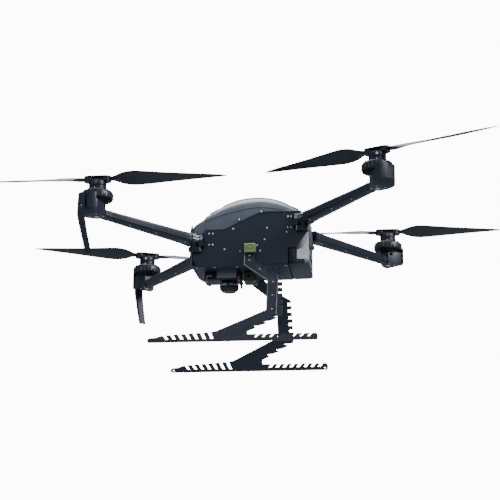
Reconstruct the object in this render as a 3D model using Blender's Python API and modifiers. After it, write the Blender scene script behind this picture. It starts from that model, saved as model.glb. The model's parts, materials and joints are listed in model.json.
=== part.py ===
"""Folding quadcopter drone with plate landing gear, as separate pieces.

Sizes are in millimetres and become metres when a piece is made. The nose points to -Y and +Z is up.
The origin lies on the lower face of the payload dock, on the drone's centre plane. Heights are counted
from the belly, which is DOCK_DEPTH above the origin. The four arms share one set of shapes, drawn for
the quarter where X and Y are both positive and mirrored into the other three.
"""

import math

import bmesh
import bpy
from mathutils import Matrix, Vector

MM = 0.001
GAP = 0.3
DOCK_DEPTH = 25.0

# Rotor layout
MOTOR_OUT = 329.0
FRONT_ARM_HEIGHT = 67.0
REAR_ARM_HEIGHT = 115.0
PROP_RADIUS = 305.0
BLADE_PIVOT = 20.0
CONE_RISE = 2.0

# Body
PLATE_INNER = 75.0
PLATE_OUTER = 78.0
BODY_FRONT = 139.0
TRAY_REAR = 96.5
NOSE_FRONT = 150.0
TAIL_END = 147.0
BODY_HALF = 74.6

# Arm roots, in the quarter frame: a = distance out along X, b = distance along Y, h = height from the arm
ROOT = Vector((80.0, 140.0))
MOTOR = Vector((MOTOR_OUT, MOTOR_OUT))
ARM_LENGTH = (MOTOR - ROOT).length
ARM_ANGLE = math.atan2(MOTOR.y - ROOT.y, MOTOR.x - ROOT.x)
ROOT_HALF = (20.0, 13.0)
TIP_HALF = (13.0, 9.5)
MOUNT_INNER = -16.0
HINGE_A = 88.0
HINGE_H = -26.0
HINGE_RADIUS = 7.0
PIN_RADIUS = 3.5
BRACKET_LOW = -18.0
BRACKET_TOP = 12.0

# Motor stack, heights above the arm's centre line
MOUNT_LOW = -10.0
MOUNT_TOP = 24.0
GUARD_TOP = 38.5
BELL_RADIUS = 37.5
BELL_LOW = 29.5
BELL_TOP = 51.5
ADAPTER_RADIUS = 21.0
ADAPTER_TOP = 75.5
BLADE_LOW = 78.8
BLADE_TOP = 85.2
HUB_TOP = 88.0

# Landing gear: a plate that leans out, drawn with y along the drone and s down the lean
GEAR_TOP_X = 85.5
GEAR_TOP_Z = 30.0
GEAR_FOOT_X = 171.0
GEAR_FOOT_Z = -208.0
GEAR_THICKNESS = 5.0
SKID_FRONT = -231.0
SKID_REAR = 176.0
SKID_BASE = 259.0
SKID_FLOOR = -212.3

# Payload parts under the nose
PORT_Y = -58.0

FINISHES = {
    "dark_plastic": ((0.022, 0.026, 0.040, 1.0), 0.0, 0.45),
    "carbon": ((0.020, 0.022, 0.030, 1.0), 0.1, 0.35),
    "hood_grey": ((0.16, 0.17, 0.20, 1.0), 0.1, 0.35),
    "tail_grey": ((0.30, 0.29, 0.29, 1.0), 0.0, 0.5),
    "anodised_green": ((0.38, 0.46, 0.20, 1.0), 0.8, 0.35),
    "steel": ((0.60, 0.61, 0.63, 1.0), 1.0, 0.30),
    "dark_metal": ((0.035, 0.037, 0.045, 1.0), 0.8, 0.40),
    "copper": ((0.45, 0.22, 0.10, 1.0), 0.8, 0.45),
    "board_green": ((0.03, 0.12, 0.06, 1.0), 0.0, 0.55),
    "olive": ((0.06, 0.07, 0.045, 1.0), 0.5, 0.5),
    "blade": ((0.016, 0.018, 0.024, 1.0), 0.0, 0.42),
    "antenna": ((0.018, 0.021, 0.034, 1.0), 0.0, 0.5),
}


def clear_scene():
    """Remove every object, and the data that they leave behind."""
    for old in list(bpy.data.objects):
        bpy.data.objects.remove(old, do_unlink=True)
    for mesh in list(bpy.data.meshes):
        bpy.data.meshes.remove(mesh)


def make_collection(name):
    """Add a collection to the scene."""
    collection = bpy.data.collections.new(name)
    bpy.context.scene.collection.children.link(collection)
    return collection


def make_material(name):
    """Return the named finish as a Principled material."""
    material = bpy.data.materials.get(name)
    if material:
        return material
    colour, metallic, roughness = FINISHES[name]
    material = bpy.data.materials.new(name)
    material.use_nodes = True
    shader = material.node_tree.nodes["Principled BSDF"]
    shader.inputs["Base Color"].default_value = colour
    shader.inputs["Metallic"].default_value = metallic
    shader.inputs["Roughness"].default_value = roughness
    return material


def baked(obj):
    """Evaluate a work object, return its shape and remove the object."""
    bpy.context.view_layer.update()
    mesh = bpy.data.meshes.new_from_object(obj.evaluated_get(bpy.context.evaluated_depsgraph_get()))
    shape = bmesh.new()
    shape.from_mesh(mesh)
    shape.transform(obj.matrix_world)
    bpy.data.objects.remove(obj, do_unlink=True)
    bpy.data.meshes.remove(mesh)
    return shape


def work_object(shape):
    """Put a shape in the cutters' collection as a plain object."""
    mesh = bpy.data.meshes.new("work")
    shape.to_mesh(mesh)
    shape.free()
    obj = bpy.data.objects.new("work", mesh)
    obj.display_type = "WIRE"
    obj.hide_render = True
    bpy.data.collections["cutters"].objects.link(obj)
    return obj


def combine(first, second, operation):
    """Boolean two closed shapes and return the result."""
    base = work_object(first)
    tool = work_object(second)
    boolean = base.modifiers.new("boolean", "BOOLEAN")
    boolean.operation = operation
    boolean.object = tool
    result = baked(base)
    bpy.data.objects.remove(tool, do_unlink=True)
    return result


def joined(*shapes):
    """Union several closed shapes."""
    result = shapes[0]
    for shape in shapes[1:]:
        result = combine(result, shape, "UNION")
    return result


def cut(shape, *cutters):
    """Take several closed shapes away from the first."""
    for cutter in cutters:
        shape = combine(shape, cutter, "DIFFERENCE")
    return shape


def box(low, high, bevel=0.0):
    """A box from its lowest and highest corners, with its edges chamfered."""
    shape = bmesh.new()
    bmesh.ops.create_cube(shape, size=1.0)
    low = Vector(low)
    high = Vector(high)
    size = high - low
    shape.transform(Matrix.Translation((low + high) / 2) @ Matrix.Diagonal((*size, 1.0)))
    if bevel:
        bmesh.ops.bevel(shape, geom=shape.edges[:], offset=bevel, segments=1, affect="EDGES")
    return shape


def cylinder(radius, start, end, segments=20):
    """A closed cylinder between two points."""
    start = Vector(start)
    end = Vector(end)
    shape = bmesh.new()
    bmesh.ops.create_cone(
        shape, cap_ends=True, segments=segments, radius1=radius, radius2=radius, depth=(end - start).length
    )
    turn = (end - start).to_track_quat("Z", "Y").to_matrix().to_4x4()
    shape.transform(Matrix.Translation((start + end) / 2) @ turn)
    return shape


def turned(profile, segments):
    """Spin a profile of (radius, height) points, listed from the top down its outer side."""
    mesh = bpy.data.meshes.new("profile")
    points = [(radius, 0.0, height) for radius, height in profile]
    mesh.from_pydata(points, [(i, i + 1) for i in range(len(points) - 1)], [])
    obj = bpy.data.objects.new("profile", mesh)
    bpy.data.collections["cutters"].objects.link(obj)
    screw = obj.modifiers.new("screw", "SCREW")
    screw.axis = "Z"
    screw.angle = math.tau
    screw.steps = segments
    screw.render_steps = segments
    screw.use_merge_vertices = True
    screw.merge_threshold = 0.0001
    shape = baked(obj)
    bmesh.ops.remove_doubles(shape, verts=shape.verts[:], dist=0.001)
    bmesh.ops.recalc_face_normals(shape, faces=shape.faces[:])
    return shape


def plate(outline, thickness, holes=()):
    """A flat plate from its outline, centred on the XY plane."""
    curve = bpy.data.curves.new("outline", "CURVE")
    curve.dimensions = "2D"
    curve.fill_mode = "BOTH"
    curve.extrude = thickness / 2
    for points in (outline, *holes):
        spline = curve.splines.new("POLY")
        spline.points.add(len(points) - 1)
        for point, (x, y) in zip(spline.points, points):
            point.co = (x, y, 0.0, 1.0)
        spline.use_cyclic_u = True
    obj = bpy.data.objects.new("outline", curve)
    bpy.data.collections["cutters"].objects.link(obj)
    shape = baked(obj)
    bmesh.ops.remove_doubles(shape, verts=shape.verts[:], dist=0.001)
    bmesh.ops.recalc_face_normals(shape, faces=shape.faces[:])
    return shape


def circle(x, y, radius, segments):
    """Points round a circle."""
    turns = [math.tau * i / segments for i in range(segments)]
    return [(x + radius * math.cos(t), y + radius * math.sin(t)) for t in turns]


def loft(rings):
    """Join rings of equal size, first to last, into one closed shape."""
    shape = bmesh.new()
    rows = [[shape.verts.new(point) for point in ring] for ring in rings]
    count = len(rows[0])
    for row, following in zip(rows, rows[1:]):
        for i in range(count):
            j = (i + 1) % count
            shape.faces.new((row[i], row[j], following[j], following[i]))
    shape.faces.new(rows[0])
    shape.faces.new(rows[-1])
    bmesh.ops.recalc_face_normals(shape, faces=shape.faces[:])
    return shape


def shell(rows, thickness, closed=False):
    """A sheet through rows of points, thickened inwards by a Solidify modifier."""
    shape = bmesh.new()
    grid = [[shape.verts.new(point) for point in row] for row in rows]
    for row, following in zip(grid, grid[1:]):
        last = len(row) if closed else len(row) - 1
        for i in range(last):
            j = (i + 1) % len(row)
            shape.faces.new((row[i], row[j], following[j], following[i]))
    obj = work_object(shape)
    solidify = obj.modifiers.new("solidify", "SOLIDIFY")
    solidify.thickness = thickness
    solidify.offset = -1.0
    solidify.use_even_offset = True
    result = baked(obj)
    bmesh.ops.recalc_face_normals(result, faces=result.faces[:])
    return result


def piece(name, shape, finish, origin=(0.0, 0.0, 0.0), parent=None):
    """Make a named part from a shape in millimetres, with its origin at the given point."""
    origin = Vector(origin)
    shape.transform(Matrix.Scale(MM, 4) @ Matrix.Translation(-origin))
    bmesh.ops.triangulate(shape, faces=[face for face in shape.faces if len(face.verts) > 4])
    mesh = bpy.data.meshes.new(name)
    shape.to_mesh(mesh)
    shape.free()
    mesh.shade_smooth()
    mesh.set_sharp_from_angle(angle=math.radians(35.0))
    mesh.materials.append(make_material(finish))
    obj = bpy.data.objects.new(name, mesh)
    bpy.data.collections["quadcopter_drone"].objects.link(obj)
    place(obj, origin, parent)
    return obj


def place(obj, origin, parent):
    """Set an object at a point given from the belly, under its parent if it has one."""
    spot = (Vector(origin) + Vector((0.0, 0.0, DOCK_DEPTH))) * MM
    if parent:
        obj.parent = parent
        spot = spot - Vector(parent["spot"])
    obj.location = spot


def joint_empty(name, origin):
    """An empty on a joint's axis."""
    empty = bpy.data.objects.new(name, None)
    bpy.data.collections["quadcopter_drone"].objects.link(empty)
    empty.empty_display_size = 0.02
    place(empty, origin, None)
    empty["spot"] = tuple(empty.location)
    return empty


def in_quarter(shape, side, end, height):
    """Mirror a shape from the quarter frame to one corner of the drone."""
    mirror = Matrix.Diagonal((side, end, 1.0, 1.0))
    shape.transform(Matrix.Translation((0.0, 0.0, height)) @ mirror)
    if side * end < 0:
        bmesh.ops.reverse_faces(shape, faces=shape.faces[:])
    return shape


def arm_frame():
    """Turn and move a shape drawn along +X from the motor's axis into the quarter frame."""
    return Matrix.Translation((MOTOR.x, MOTOR.y, 0.0)) @ Matrix.Rotation(ARM_ANGLE, 4, "Z")


# ---- body -----------------------------------------------------------------------------------------


def side_outline():
    """The side plate seen from the side, as (y, z) points."""
    return [
        (-128, 3), (97, 3), (97, 43), (116, 43), (146, 84), (146, 90), (112, 90), (112, 124),
        (107, 129), (26, 129), (-66, 89), (-112, 89), (-112, 46), (-134, 46), (-139, 40), (-139, 15),
    ]


def make_side_plates():
    """Two flat plates that carry the arm brackets and close the body's sides."""
    for name, side in (("side_plate_left", 1), ("side_plate_right", -1)):
        shape = plate(side_outline(), PLATE_OUTER - PLATE_INNER)
        middle = side * (PLATE_INNER + PLATE_OUTER) / 2
        upright = Matrix(((0, 0, 1, middle), (1, 0, 0, 0), (0, 1, 0, 0), (0, 0, 0, 1)))
        shape.transform(upright)
        piece(name, shape, "carbon")


def make_belly_tray():
    """The floor of the body, a shallow tray open at the top and the tail."""
    outer = box((-BODY_HALF, -BODY_FRONT, 0), (BODY_HALF, TRAY_REAR, 24), 4.0)
    inner = box((-BODY_HALF + 3, -BODY_FRONT + 3, 3), (BODY_HALF - 3, TRAY_REAR + 20, 40))
    piece("belly_tray", cut(outer, inner), "dark_plastic")


def make_nose_cover():
    """The curved front wall."""
    rows = []
    for height, drop in ((3, 9), (8, 4), (16, 1), (30, 0), (92, 0), (108, 2)):
        front = -NOSE_FRONT + drop
        rows.append([
            (BODY_HALF, -BODY_FRONT - 2.6, height),
            (58, front, height),
            (0, front - 0.6, height),
            (-58, front, height),
            (-BODY_HALF, -BODY_FRONT - 2.6, height),
        ])
    piece("nose_cover", shell(rows, -2.0), "dark_plastic")


def crown(y):
    """Height of the hood on the centre line."""
    return 192.0 - 62.0 * abs((y - 10.0) / 135.0) ** 2.2


def crease(y):
    """Height of the line where the hood's top meets its side."""
    return min(154.0 - 20.0 * abs((y - 25.0) / 100.0) ** 1.6, crown(y) - 4.0)


def rim(y):
    """Height of the hood's lower edge, just over the brackets and inside the plates."""
    share = min(max((y + 62.0) / 90.0, 0.0), 1.0)
    return 84.0 + 43.5 * share


def hood_section(y, half):
    """One cross-section of the hood, from its +X edge over the top to its -X edge."""
    low = rim(y)
    shoulder = max(crease(y), low + 8.0)
    right = [(half, low), (half - 0.6, (low + shoulder) / 2 - 2), (half * 0.91, shoulder)]
    for turn in (25, 45, 65):
        angle = math.radians(turn)
        right.append((half * 0.91 * math.cos(angle), shoulder + (crown(y) - shoulder) * math.sin(angle)))
    left = [(-x, z) for x, z in reversed(right)]
    return [(x, y, z) for x, z in right + [(0.0, crown(y))] + left]


def make_hood():
    """The domed top cover, with its rear wall."""
    rows = []
    for y, half in ((-146, 61), (-137, 74.2), (-114, 74.4)):
        rows.append([(x, y, z - 3.0 if z > rim(y) + 1 else z) for x, _, z in hood_section(y, half)])
    for y in (-112, -90, -62, -30, 0, 28, 60, 90, 115, 135):
        rows.append(hood_section(y, 74.4))
    rows.append(hood_section(146, 60))
    last = rows[-1]
    rows.append([(x, TAIL_END, 89.5) for x, _, _ in last])
    piece("hood", shell(rows, -2.0), "hood_grey")


def make_inner_parts():
    """The deck over the battery and the flight controller on it."""
    piece("mid_deck", box((-71.8, -80, 92), (71.8, 83, 94.5)), "carbon")
    piece("flight_controller", box((-22, -40, 94.8), (22, 12, 116), 2.0), "board_green")


def make_battery():
    """The battery pack, which slides out of the tail, and its two squeeze latches."""
    empty = joint_empty("battery_axis", (0, 0, 45))
    cell = box((-58, -62, 10), (58, 110, 80), 3.0)
    grip = [(70, 98), (74.4, 103), (74.4, 118), (56, TAIL_END)]
    foot = [(70, 98), (74.4, 103), (74.4, 137), (66, TAIL_END)]
    blocks = []
    for edge, low, high in ((grip, 13, 88), (foot, 2, 14)):
        block = plate(edge + [(-x, y) for x, y in reversed(edge)], high - low)
        block.transform(Matrix.Translation((0, 0, (high + low) / 2)))
        blocks.append(block)
    pockets = [box((start, 98.5, 4.6), (start + 12, 112.5, 40.4)) for start in (64, -76)]
    piece("battery_pack", cut(joined(cell, *blocks), *pockets), "tail_grey", (0, 0, 45), empty)
    for name, side in (("battery_latch_left", 1), ("battery_latch_right", -1)):
        inner = 68.0
        shape = box((inner, 98.9, 5), (77.0, 112.1, 40), 0.8)
        for i in range(3):
            start = 100.6 + 3.8 * i
            shape = joined(shape, box((76, start, 8), (78.8, start + 2.2, 37)))
        shape.transform(Matrix.Diagonal((side, 1, 1, 1)))
        if side < 0:
            bmesh.ops.reverse_faces(shape, faces=shape.faces[:])
        piece(name, shape, "dark_plastic", (side * 72, 105.5, 22), empty)


def make_payload_parts():
    """The dock, the damped bracket and the round payload port under the belly."""
    dock = box((-22, -20, -DOCK_DEPTH), (22, 13, -GAP), 2.0)
    piece("payload_dock", cut(dock, box((-30, -9, -16), (30, 2, -7))), "olive")
    front = box((-22, -118, -22), (22, -92, -GAP), 2.0)
    rear = box((-20, -38, -22), (20, -26, -GAP), 1.5)
    shelf = box((-26, -119, -21), (26, -25, -17))
    ear = box((-7, -29, -38), (7, -25, -16))
    bracket = cut(joined(front, rear, shelf, ear), cylinder(2.2, (0, -35, -31), (0, -20, -31), 12))
    piece("damper_bracket", bracket, "dark_plastic")
    outline = [(0, -24), (19, -24), (20, -25.5), (20, -36.5), (24, -37), (24, -40), (17, -47), (0, -47)]
    bowl = turned(outline, 28)
    bowl.transform(Matrix.Translation((0, PORT_Y, 0)))
    lugs = [box((-5, PORT_Y + y - 3, -30), (5, PORT_Y + y + 3, -21.3)) for y in (-15.5, 15.5)]
    piece("payload_port", joined(bowl, *lugs), "dark_metal")
    ring = turned([(20.3, -27.5), (23, -27.5), (24, -28.5), (24, -36.1), (20.3, -36.1), (20.3, -27.5)], 28)
    knurl = box((22, -4, -35.5), (26.5, 4, -28.5), 1.0)
    ring = joined(ring, knurl)
    ring.transform(Matrix.Translation((0, PORT_Y, 0)))
    piece("port_lock_ring", ring, "steel", (0, PORT_Y, -32))


# ---- landing gear ---------------------------------------------------------------------------------


def comb(start, step, count, low, high, lean):
    """Points along an edge with slots cut in it, each slot leaning by the given amount."""
    points = []
    width = step * 0.42
    for i in range(count):
        y = start + step * i
        points += [(y, high), (y + lean, low), (y + width + lean, low), (y + width, high)]
    return points


def gear_outline():
    """The leg and skid as (y, s) points, with s down the lean."""
    points = [(-10, 4), (-7, 4), (-7, -10.5), (13, -10.5), (13, 4), (17, 4), (17, 23), (54, 58), (86, 78)]
    for i in range(5):
        s = 84.0 + 17.0 * i
        edge = 87.0 + 0.6 * i
        points += [(edge, s), (edge - 10, s), (edge - 10, s + 7.5), (edge, s + 7.5)]
    points += [(89, 187), (64, 189), (77, 194), (60, 201), (43, 203), (52, 208), (35, 214), (20, 215)]
    points += [(27, 221), (8, 229), (8, 240)]
    points += comb(30, 18.0, 8, 249, 240, -7)
    points += [(172, 240), (SKID_REAR, 245), (SKID_REAR, 254), (171, SKID_BASE), (-226, SKID_BASE)]
    points += [(SKID_FRONT, 255), (SKID_FRONT, 249), (-226, 246), (-213, 245)]
    front = comb(79, 18.0, 7, 251, 240, -8)
    points += [(-y, s - 8.0 * (205.0 - y) / 126.0 if s < 250 else s) for y, s in reversed(front)]
    points += [(-66, 229), (50, 172), (50, 86), (-10, 38)]
    return points


def gear_frame():
    """Stand the gear's flat outline up in its leaning plane, with the plate's middle on the plane."""
    down = Vector((GEAR_FOOT_X - GEAR_TOP_X, 0.0, GEAR_FOOT_Z - GEAR_TOP_Z)).normalized()
    across = Vector((0.0, 1.0, 0.0))
    out = across.cross(down)
    rotation = Matrix((across, down, out)).transposed().to_4x4()
    return Matrix.Translation((GEAR_TOP_X, 0.0, GEAR_TOP_Z)) @ rotation


def flat_box(low, high):
    """A box in the gear's leaning frame, from (y, s, depth) corners."""
    shape = box(low, high)
    shape.transform(gear_frame())
    return shape


def trim(shape, point, outward):
    """Cut a shape off flat at a plane and close it."""
    everything = shape.verts[:] + shape.edges[:] + shape.faces[:]
    result = bmesh.ops.bisect_plane(
        shape, geom=everything, plane_co=point, plane_no=Vector(outward).normalized(), clear_outer=True
    )
    edges = [item for item in result["geom_cut"] if isinstance(item, bmesh.types.BMEdge)]
    bmesh.ops.holes_fill(shape, edges=edges)
    bmesh.ops.recalc_face_normals(shape, faces=shape.faces[:])


def mirrored(shape, side):
    """Leave a shape on the +X side or mirror it to the -X side."""
    if side < 0:
        shape.transform(Matrix.Diagonal((-1.0, 1.0, 1.0, 1.0)))
        bmesh.ops.reverse_faces(shape, faces=shape.faces[:])
    return shape


def make_gear_leg(name, side):
    """A leg and its skid, cut from one leaning plate, with a tongue on top and a flat underside."""
    holes = [circle(y, 252.5, 2.2, 8) for y in (SKID_FRONT + 8, SKID_REAR - 8)]
    shape = plate(gear_outline(), GEAR_THICKNESS, holes)
    shape.transform(gear_frame())
    trim(shape, (0, 0, SKID_FLOOR), (0, 0, -1))
    origin = (side * GEAR_TOP_X, 0, GEAR_TOP_Z)
    piece(name, mirrored(shape, side), "carbon", origin)


def make_gear_socket(name, side):
    """The quick-release block on the side plate that takes a leg's tongue."""
    block = box((PLATE_OUTER + GAP, -9.8, 27.5), (99, 19, 50), 1.2)
    slot = flat_box((-7.4, -11, -2.9), (13.4, 14, 2.9))
    throat = flat_box((-16, 3.4, -3.4), (24, 16, 3.4))
    piece(name, mirrored(cut(block, slot, throat), side), "anodised_green")


def make_landing_gear():
    """Both legs and their sockets."""
    for label, side in (("left", 1), ("right", -1)):
        make_gear_socket("gear_socket_" + label, side)
        make_gear_leg("gear_leg_" + label, side)


# ---- arms -----------------------------------------------------------------------------------------


def arm_point(along, across, height):
    """A point in the quarter frame from its distance along the arm and across it."""
    out = Vector((math.cos(ARM_ANGLE), math.sin(ARM_ANGLE)))
    aside = Vector((math.sin(ARM_ANGLE), -math.cos(ARM_ANGLE)))
    spot = ROOT + out * along + aside * across
    return (spot.x, spot.y, height)


def beam_ring(along, half_width, half_height):
    """An eight-sided cross-section of the arm."""
    trim = min(half_width, half_height) * 0.45
    corners = [
        (half_width, half_height - trim), (half_width - trim, half_height),
        (-half_width + trim, half_height), (-half_width, half_height - trim),
        (-half_width, -half_height + trim), (-half_width + trim, -half_height),
        (half_width - trim, -half_height), (half_width, -half_height + trim),
    ]
    return [arm_point(along, across, height) for across, height in corners]


def arm_beam_shape():
    """The arm from its end face to the motor mount, with the hinge ear under its root."""
    width, height = ROOT_HALF
    tip = ARM_LENGTH + MOUNT_INNER - GAP
    rings = [
        beam_ring(0, width + 1, height + 1), beam_ring(7, width + 1, height + 1),
        beam_ring(9, width, height), beam_ring(45, width - 2, height - 1),
        beam_ring(tip, *TIP_HALF),
    ]
    ear = cylinder(HINGE_RADIUS, (HINGE_A, 130.2, HINGE_H), (HINGE_A, 139.8, HINGE_H), 16)
    web = box((88.6, 130.2, HINGE_H - 2), (94.5, 139.8, -6))
    bore = cylinder(PIN_RADIUS + GAP, (HINGE_A, 125, HINGE_H), (HINGE_A, 145, HINGE_H), 16)
    return cut(joined(loft(rings), web, ear), bore)


def bracket_shape():
    """The root bracket: an inner block between the side plates and an outer block that meets the arm."""
    corner = arm_point(-GAP, ROOT_HALF[0], 0)
    far = arm_point(-GAP, -6.0, 0)
    outline = [(46, 84), (74.7, 84), (74.7, 112.4), (90, 112.4), corner[:2], far[:2]]
    outline += [(75.5, 144.5), (75.5, 138.5), (46, 138.5)]
    shape = plate(outline, BRACKET_TOP - BRACKET_LOW)
    shape.transform(Matrix.Translation((0, 0, (BRACKET_TOP + BRACKET_LOW) / 2)))
    for start, end in ((121.0, 129.9), (140.1, 146.0)):
        ear = cylinder(HINGE_RADIUS, (HINGE_A, start, HINGE_H), (HINGE_A, end, HINGE_H), 16)
        web = box((78.6, start, HINGE_H - 4), (HINGE_A, end, BRACKET_LOW + 2.6))
        if start > 130:
            web = box((76.0, start, HINGE_H + 1.3), (HINGE_A - 4, end, BRACKET_LOW + 2.6))
        shape = joined(shape, web, ear)
    pocket = box((84, 113.9, -3.5), (100, 122.1, 10.1))
    bore = cylinder(PIN_RADIUS + GAP, (HINGE_A, 115, HINGE_H), (HINGE_A, 155, HINGE_H), 16)
    return cut(shape, pocket, bore)


def latch_shape():
    """The release latch in the bracket's side, with two finger bars."""
    body = box((87.5, 114.3, -3.1), (90.5, 121.7, 9.7))
    bars = [box((90, 114.3, height), (94.5, 121.7, height + 3.6)) for height in (-2.4, 5.4)]
    return joined(body, *bars)


def pin_shape():
    """The hinge pin with its two heads."""
    shaft = cylinder(PIN_RADIUS, (HINGE_A, 119.5, HINGE_H), (HINGE_A, 147.5, HINGE_H), 16)
    head = cylinder(6.0, (HINGE_A, 118.0, HINGE_H), (HINGE_A, 120.7, HINGE_H), 12)
    cap = cylinder(6.0, (HINGE_A, 146.3, HINGE_H), (HINGE_A, 149.0, HINGE_H), 12)
    return joined(shaft, head, cap)


def motor_mount_shape():
    """The arm's end casting, with a guard round the outer side of the motor."""
    rounded = [(31, 27), (40, 21), (44.5, 10)]
    outline = [(MOUNT_INNER, 13), (4, 24), *rounded]
    outline += [(x, -y) for x, y in reversed(outline)]
    base = plate(outline, MOUNT_TOP - MOUNT_LOW)
    base.transform(Matrix.Translation((0, 0, (MOUNT_TOP + MOUNT_LOW) / 2)))
    crescent = [(24, 29), *rounded]
    crescent += [(x, -y) for x, y in reversed(crescent)]
    guard = plate(crescent, GUARD_TOP)
    guard.transform(Matrix.Translation((0, 0, GUARD_TOP / 2)))
    clearance = cylinder(BELL_RADIUS + 1.6, (0, 0, MOUNT_TOP - 2), (0, 0, 60), 40)
    window = box((-12, -40, 12), (-5, 40, 19))
    shape = cut(joined(base, cut(guard, clearance)), window)
    trim(shape, (44.5, 0, 2), (12, 0, -18))
    shape.transform(arm_frame())
    return shape


def antenna_shape():
    """The blade-shaped aerial leg that hangs from the outer end of a front arm."""
    rings = []
    for height, out, half, thick in (
        (38, 48.6, 8.5, 3.2), (34, 48.8, 10.5, 3.5), (10, 49.2, 13, 3.9), (-14, 48.8, 12.5, 3.9),
        (-56, 37, 11.2, 3.7), (-105, 21, 10, 3),
    ):
        flat = half * 0.66
        ring = [(out + thick, flat), (out + thick, -flat), (out, -half), (out - thick, -flat)]
        ring += [(out - thick, flat), (out, half)]
        rings.append([(x, y, height) for x, y in ring])
    shape = loft(rings)
    shape.transform(arm_frame())
    return shape


def bell_shape():
    """The rotating motor can, open underneath."""
    profile = [
        (0, BELL_TOP), (29, BELL_TOP), (34.5, BELL_TOP - 2), (BELL_RADIUS, BELL_TOP - 7),
        (BELL_RADIUS, BELL_LOW + 3), (BELL_RADIUS - 1.5, BELL_LOW), (BELL_RADIUS - 4, BELL_LOW),
        (BELL_RADIUS - 4, BELL_TOP - 8), (27, BELL_TOP - 4), (0, BELL_TOP - 4),
    ]
    return turned(profile, 28)


def stator_shape():
    """The fixed windings inside the can and the base below them."""
    top = BELL_TOP - 8
    base = MOUNT_TOP + GAP
    profile = [(0, top), (31, top), (31, BELL_LOW), (25, BELL_LOW - 2), (25, base), (0, base)]
    return turned(profile, 20)


def capsule(half_length, radius):
    """The outline of a plate with two round ends."""
    points = []
    for side in (1, -1):
        for i in range(9):
            angle = math.radians(-90 + 22.5 * i)
            points.append((side * (half_length + radius * math.cos(angle)), side * radius * math.sin(angle)))
    return points


def hub_shape(turn):
    """The adapter block, the two clamp plates and the blades' pivot pins, at a turn about the shaft."""
    adapter = turned([
        (0, ADAPTER_TOP), (18, ADAPTER_TOP), (ADAPTER_RADIUS, ADAPTER_TOP - 2),
        (ADAPTER_RADIUS, 64), (19.5, 63), (ADAPTER_RADIUS, 62), (ADAPTER_RADIUS, BELL_TOP + GAP),
        (0, BELL_TOP + GAP),
    ], 24)
    lower = plate(capsule(BLADE_PIVOT, 13), 3.4)
    lower.transform(Matrix.Translation((0, 0, ADAPTER_TOP + 1.3)))
    upper = plate(capsule(BLADE_PIVOT, 13), 2.5)
    upper.transform(Matrix.Translation((0, 0, HUB_TOP - 1.25)))
    low, high = BLADE_LOW - 1.5, HUB_TOP - 1.0
    post = cylinder(6.0, (0, 0, low), (0, 0, high), 12)
    pins = [cylinder(2.5, (x, 0, low), (x, 0, high), 10) for x in (-BLADE_PIVOT, BLADE_PIVOT)]
    shape = joined(adapter, lower, post, *pins, upper)
    shape.transform(Matrix.Rotation(turn, 4, "Z"))
    return shape


def blade_ring(radius, chord, pitch, thickness, lead):
    """One section of a blade that points along +X and moves towards +Y."""
    rise = CONE_RISE * max((radius - 40.0) / (PROP_RADIUS - 40.0), 0.0) ** 1.3
    middle = (BLADE_LOW + BLADE_TOP) / 2 + rise
    angle = math.radians(pitch)
    ring = []
    upper = ((0.5, 0.0), (0.34, 0.42), (0.0, 0.5), (-0.32, 0.3))
    lower = ((-0.5, 0.0), (-0.32, -0.3), (0.0, -0.5), (0.34, -0.42))
    for across, up in upper + lower:
        y = across * chord + lead
        z = up * thickness
        lift = y * math.sin(angle) + z * math.cos(angle)
        ring.append((radius, y * math.cos(angle) - z * math.sin(angle), middle + lift))
    return ring


def blade_shape(spin, turn):
    """A folding blade: spin is 1 for anticlockwise seen from above, and turn is where it points."""
    rings = [
        blade_ring(26, 19, 0, 6.0, 0),
        blade_ring(38, 22, 2, 6.2, 0),
        blade_ring(50, 32, 13, 7.0, 0.5),
        blade_ring(66, 45, 24, 7.0, 1),
        blade_ring(88, 52, 25, 6.4, 1),
        blade_ring(120, 49, 21, 5.4, 0),
        blade_ring(165, 41, 16.5, 4.2, -1),
        blade_ring(215, 31, 13, 3.3, -2),
        blade_ring(262, 20, 10.5, 2.5, -3),
        blade_ring(292, 12, 9, 2.0, -4),
        blade_ring(PROP_RADIUS, 6, 8, 1.4, -5),
    ]
    blade = loft(rings)
    disc = cylinder(12.0, (BLADE_PIVOT, 0, BLADE_LOW), (BLADE_PIVOT, 0, BLADE_TOP), 20)
    bore = cylinder(2.5 + GAP, (BLADE_PIVOT, 0, 70), (BLADE_PIVOT, 0, 100), 10)
    shape = cut(joined(disc, blade), bore)
    if spin < 0:
        shape.transform(Matrix.Diagonal((1.0, -1.0, 1.0, 1.0)))
        bmesh.ops.reverse_faces(shape, faces=shape.faces[:])
    shape.transform(Matrix.Rotation(turn, 4, "Z"))
    return shape


def make_rotor(corner, side, end, height, spin, azimuth, arm):
    """The motor can, the hub and two blades over one motor."""
    shaft = Vector((side * MOTOR_OUT, end * MOTOR_OUT, height))
    lift = Matrix.Translation(shaft)
    rotor = joint_empty("rotor_axis_" + corner, shaft)
    rotor.parent = arm
    rotor.location = Vector(rotor["spot"]) - Vector(arm["spot"])
    for name, shape, finish in (
        ("motor_bell_", bell_shape(), "dark_metal"),
        ("prop_hub_", hub_shape(azimuth), "dark_plastic"),
    ):
        shape.transform(lift)
        piece(name + corner, shape, finish, shaft, rotor)
    for label, turn in (("a", azimuth), ("b", azimuth + math.pi)):
        shape = blade_shape(spin, turn)
        shape.transform(lift)
        pivot = shaft + Vector((BLADE_PIVOT * math.cos(turn), BLADE_PIVOT * math.sin(turn), BLADE_LOW))
        piece("prop_blade_%s_%s" % (label, corner), shape, "blade", pivot, rotor)


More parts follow.
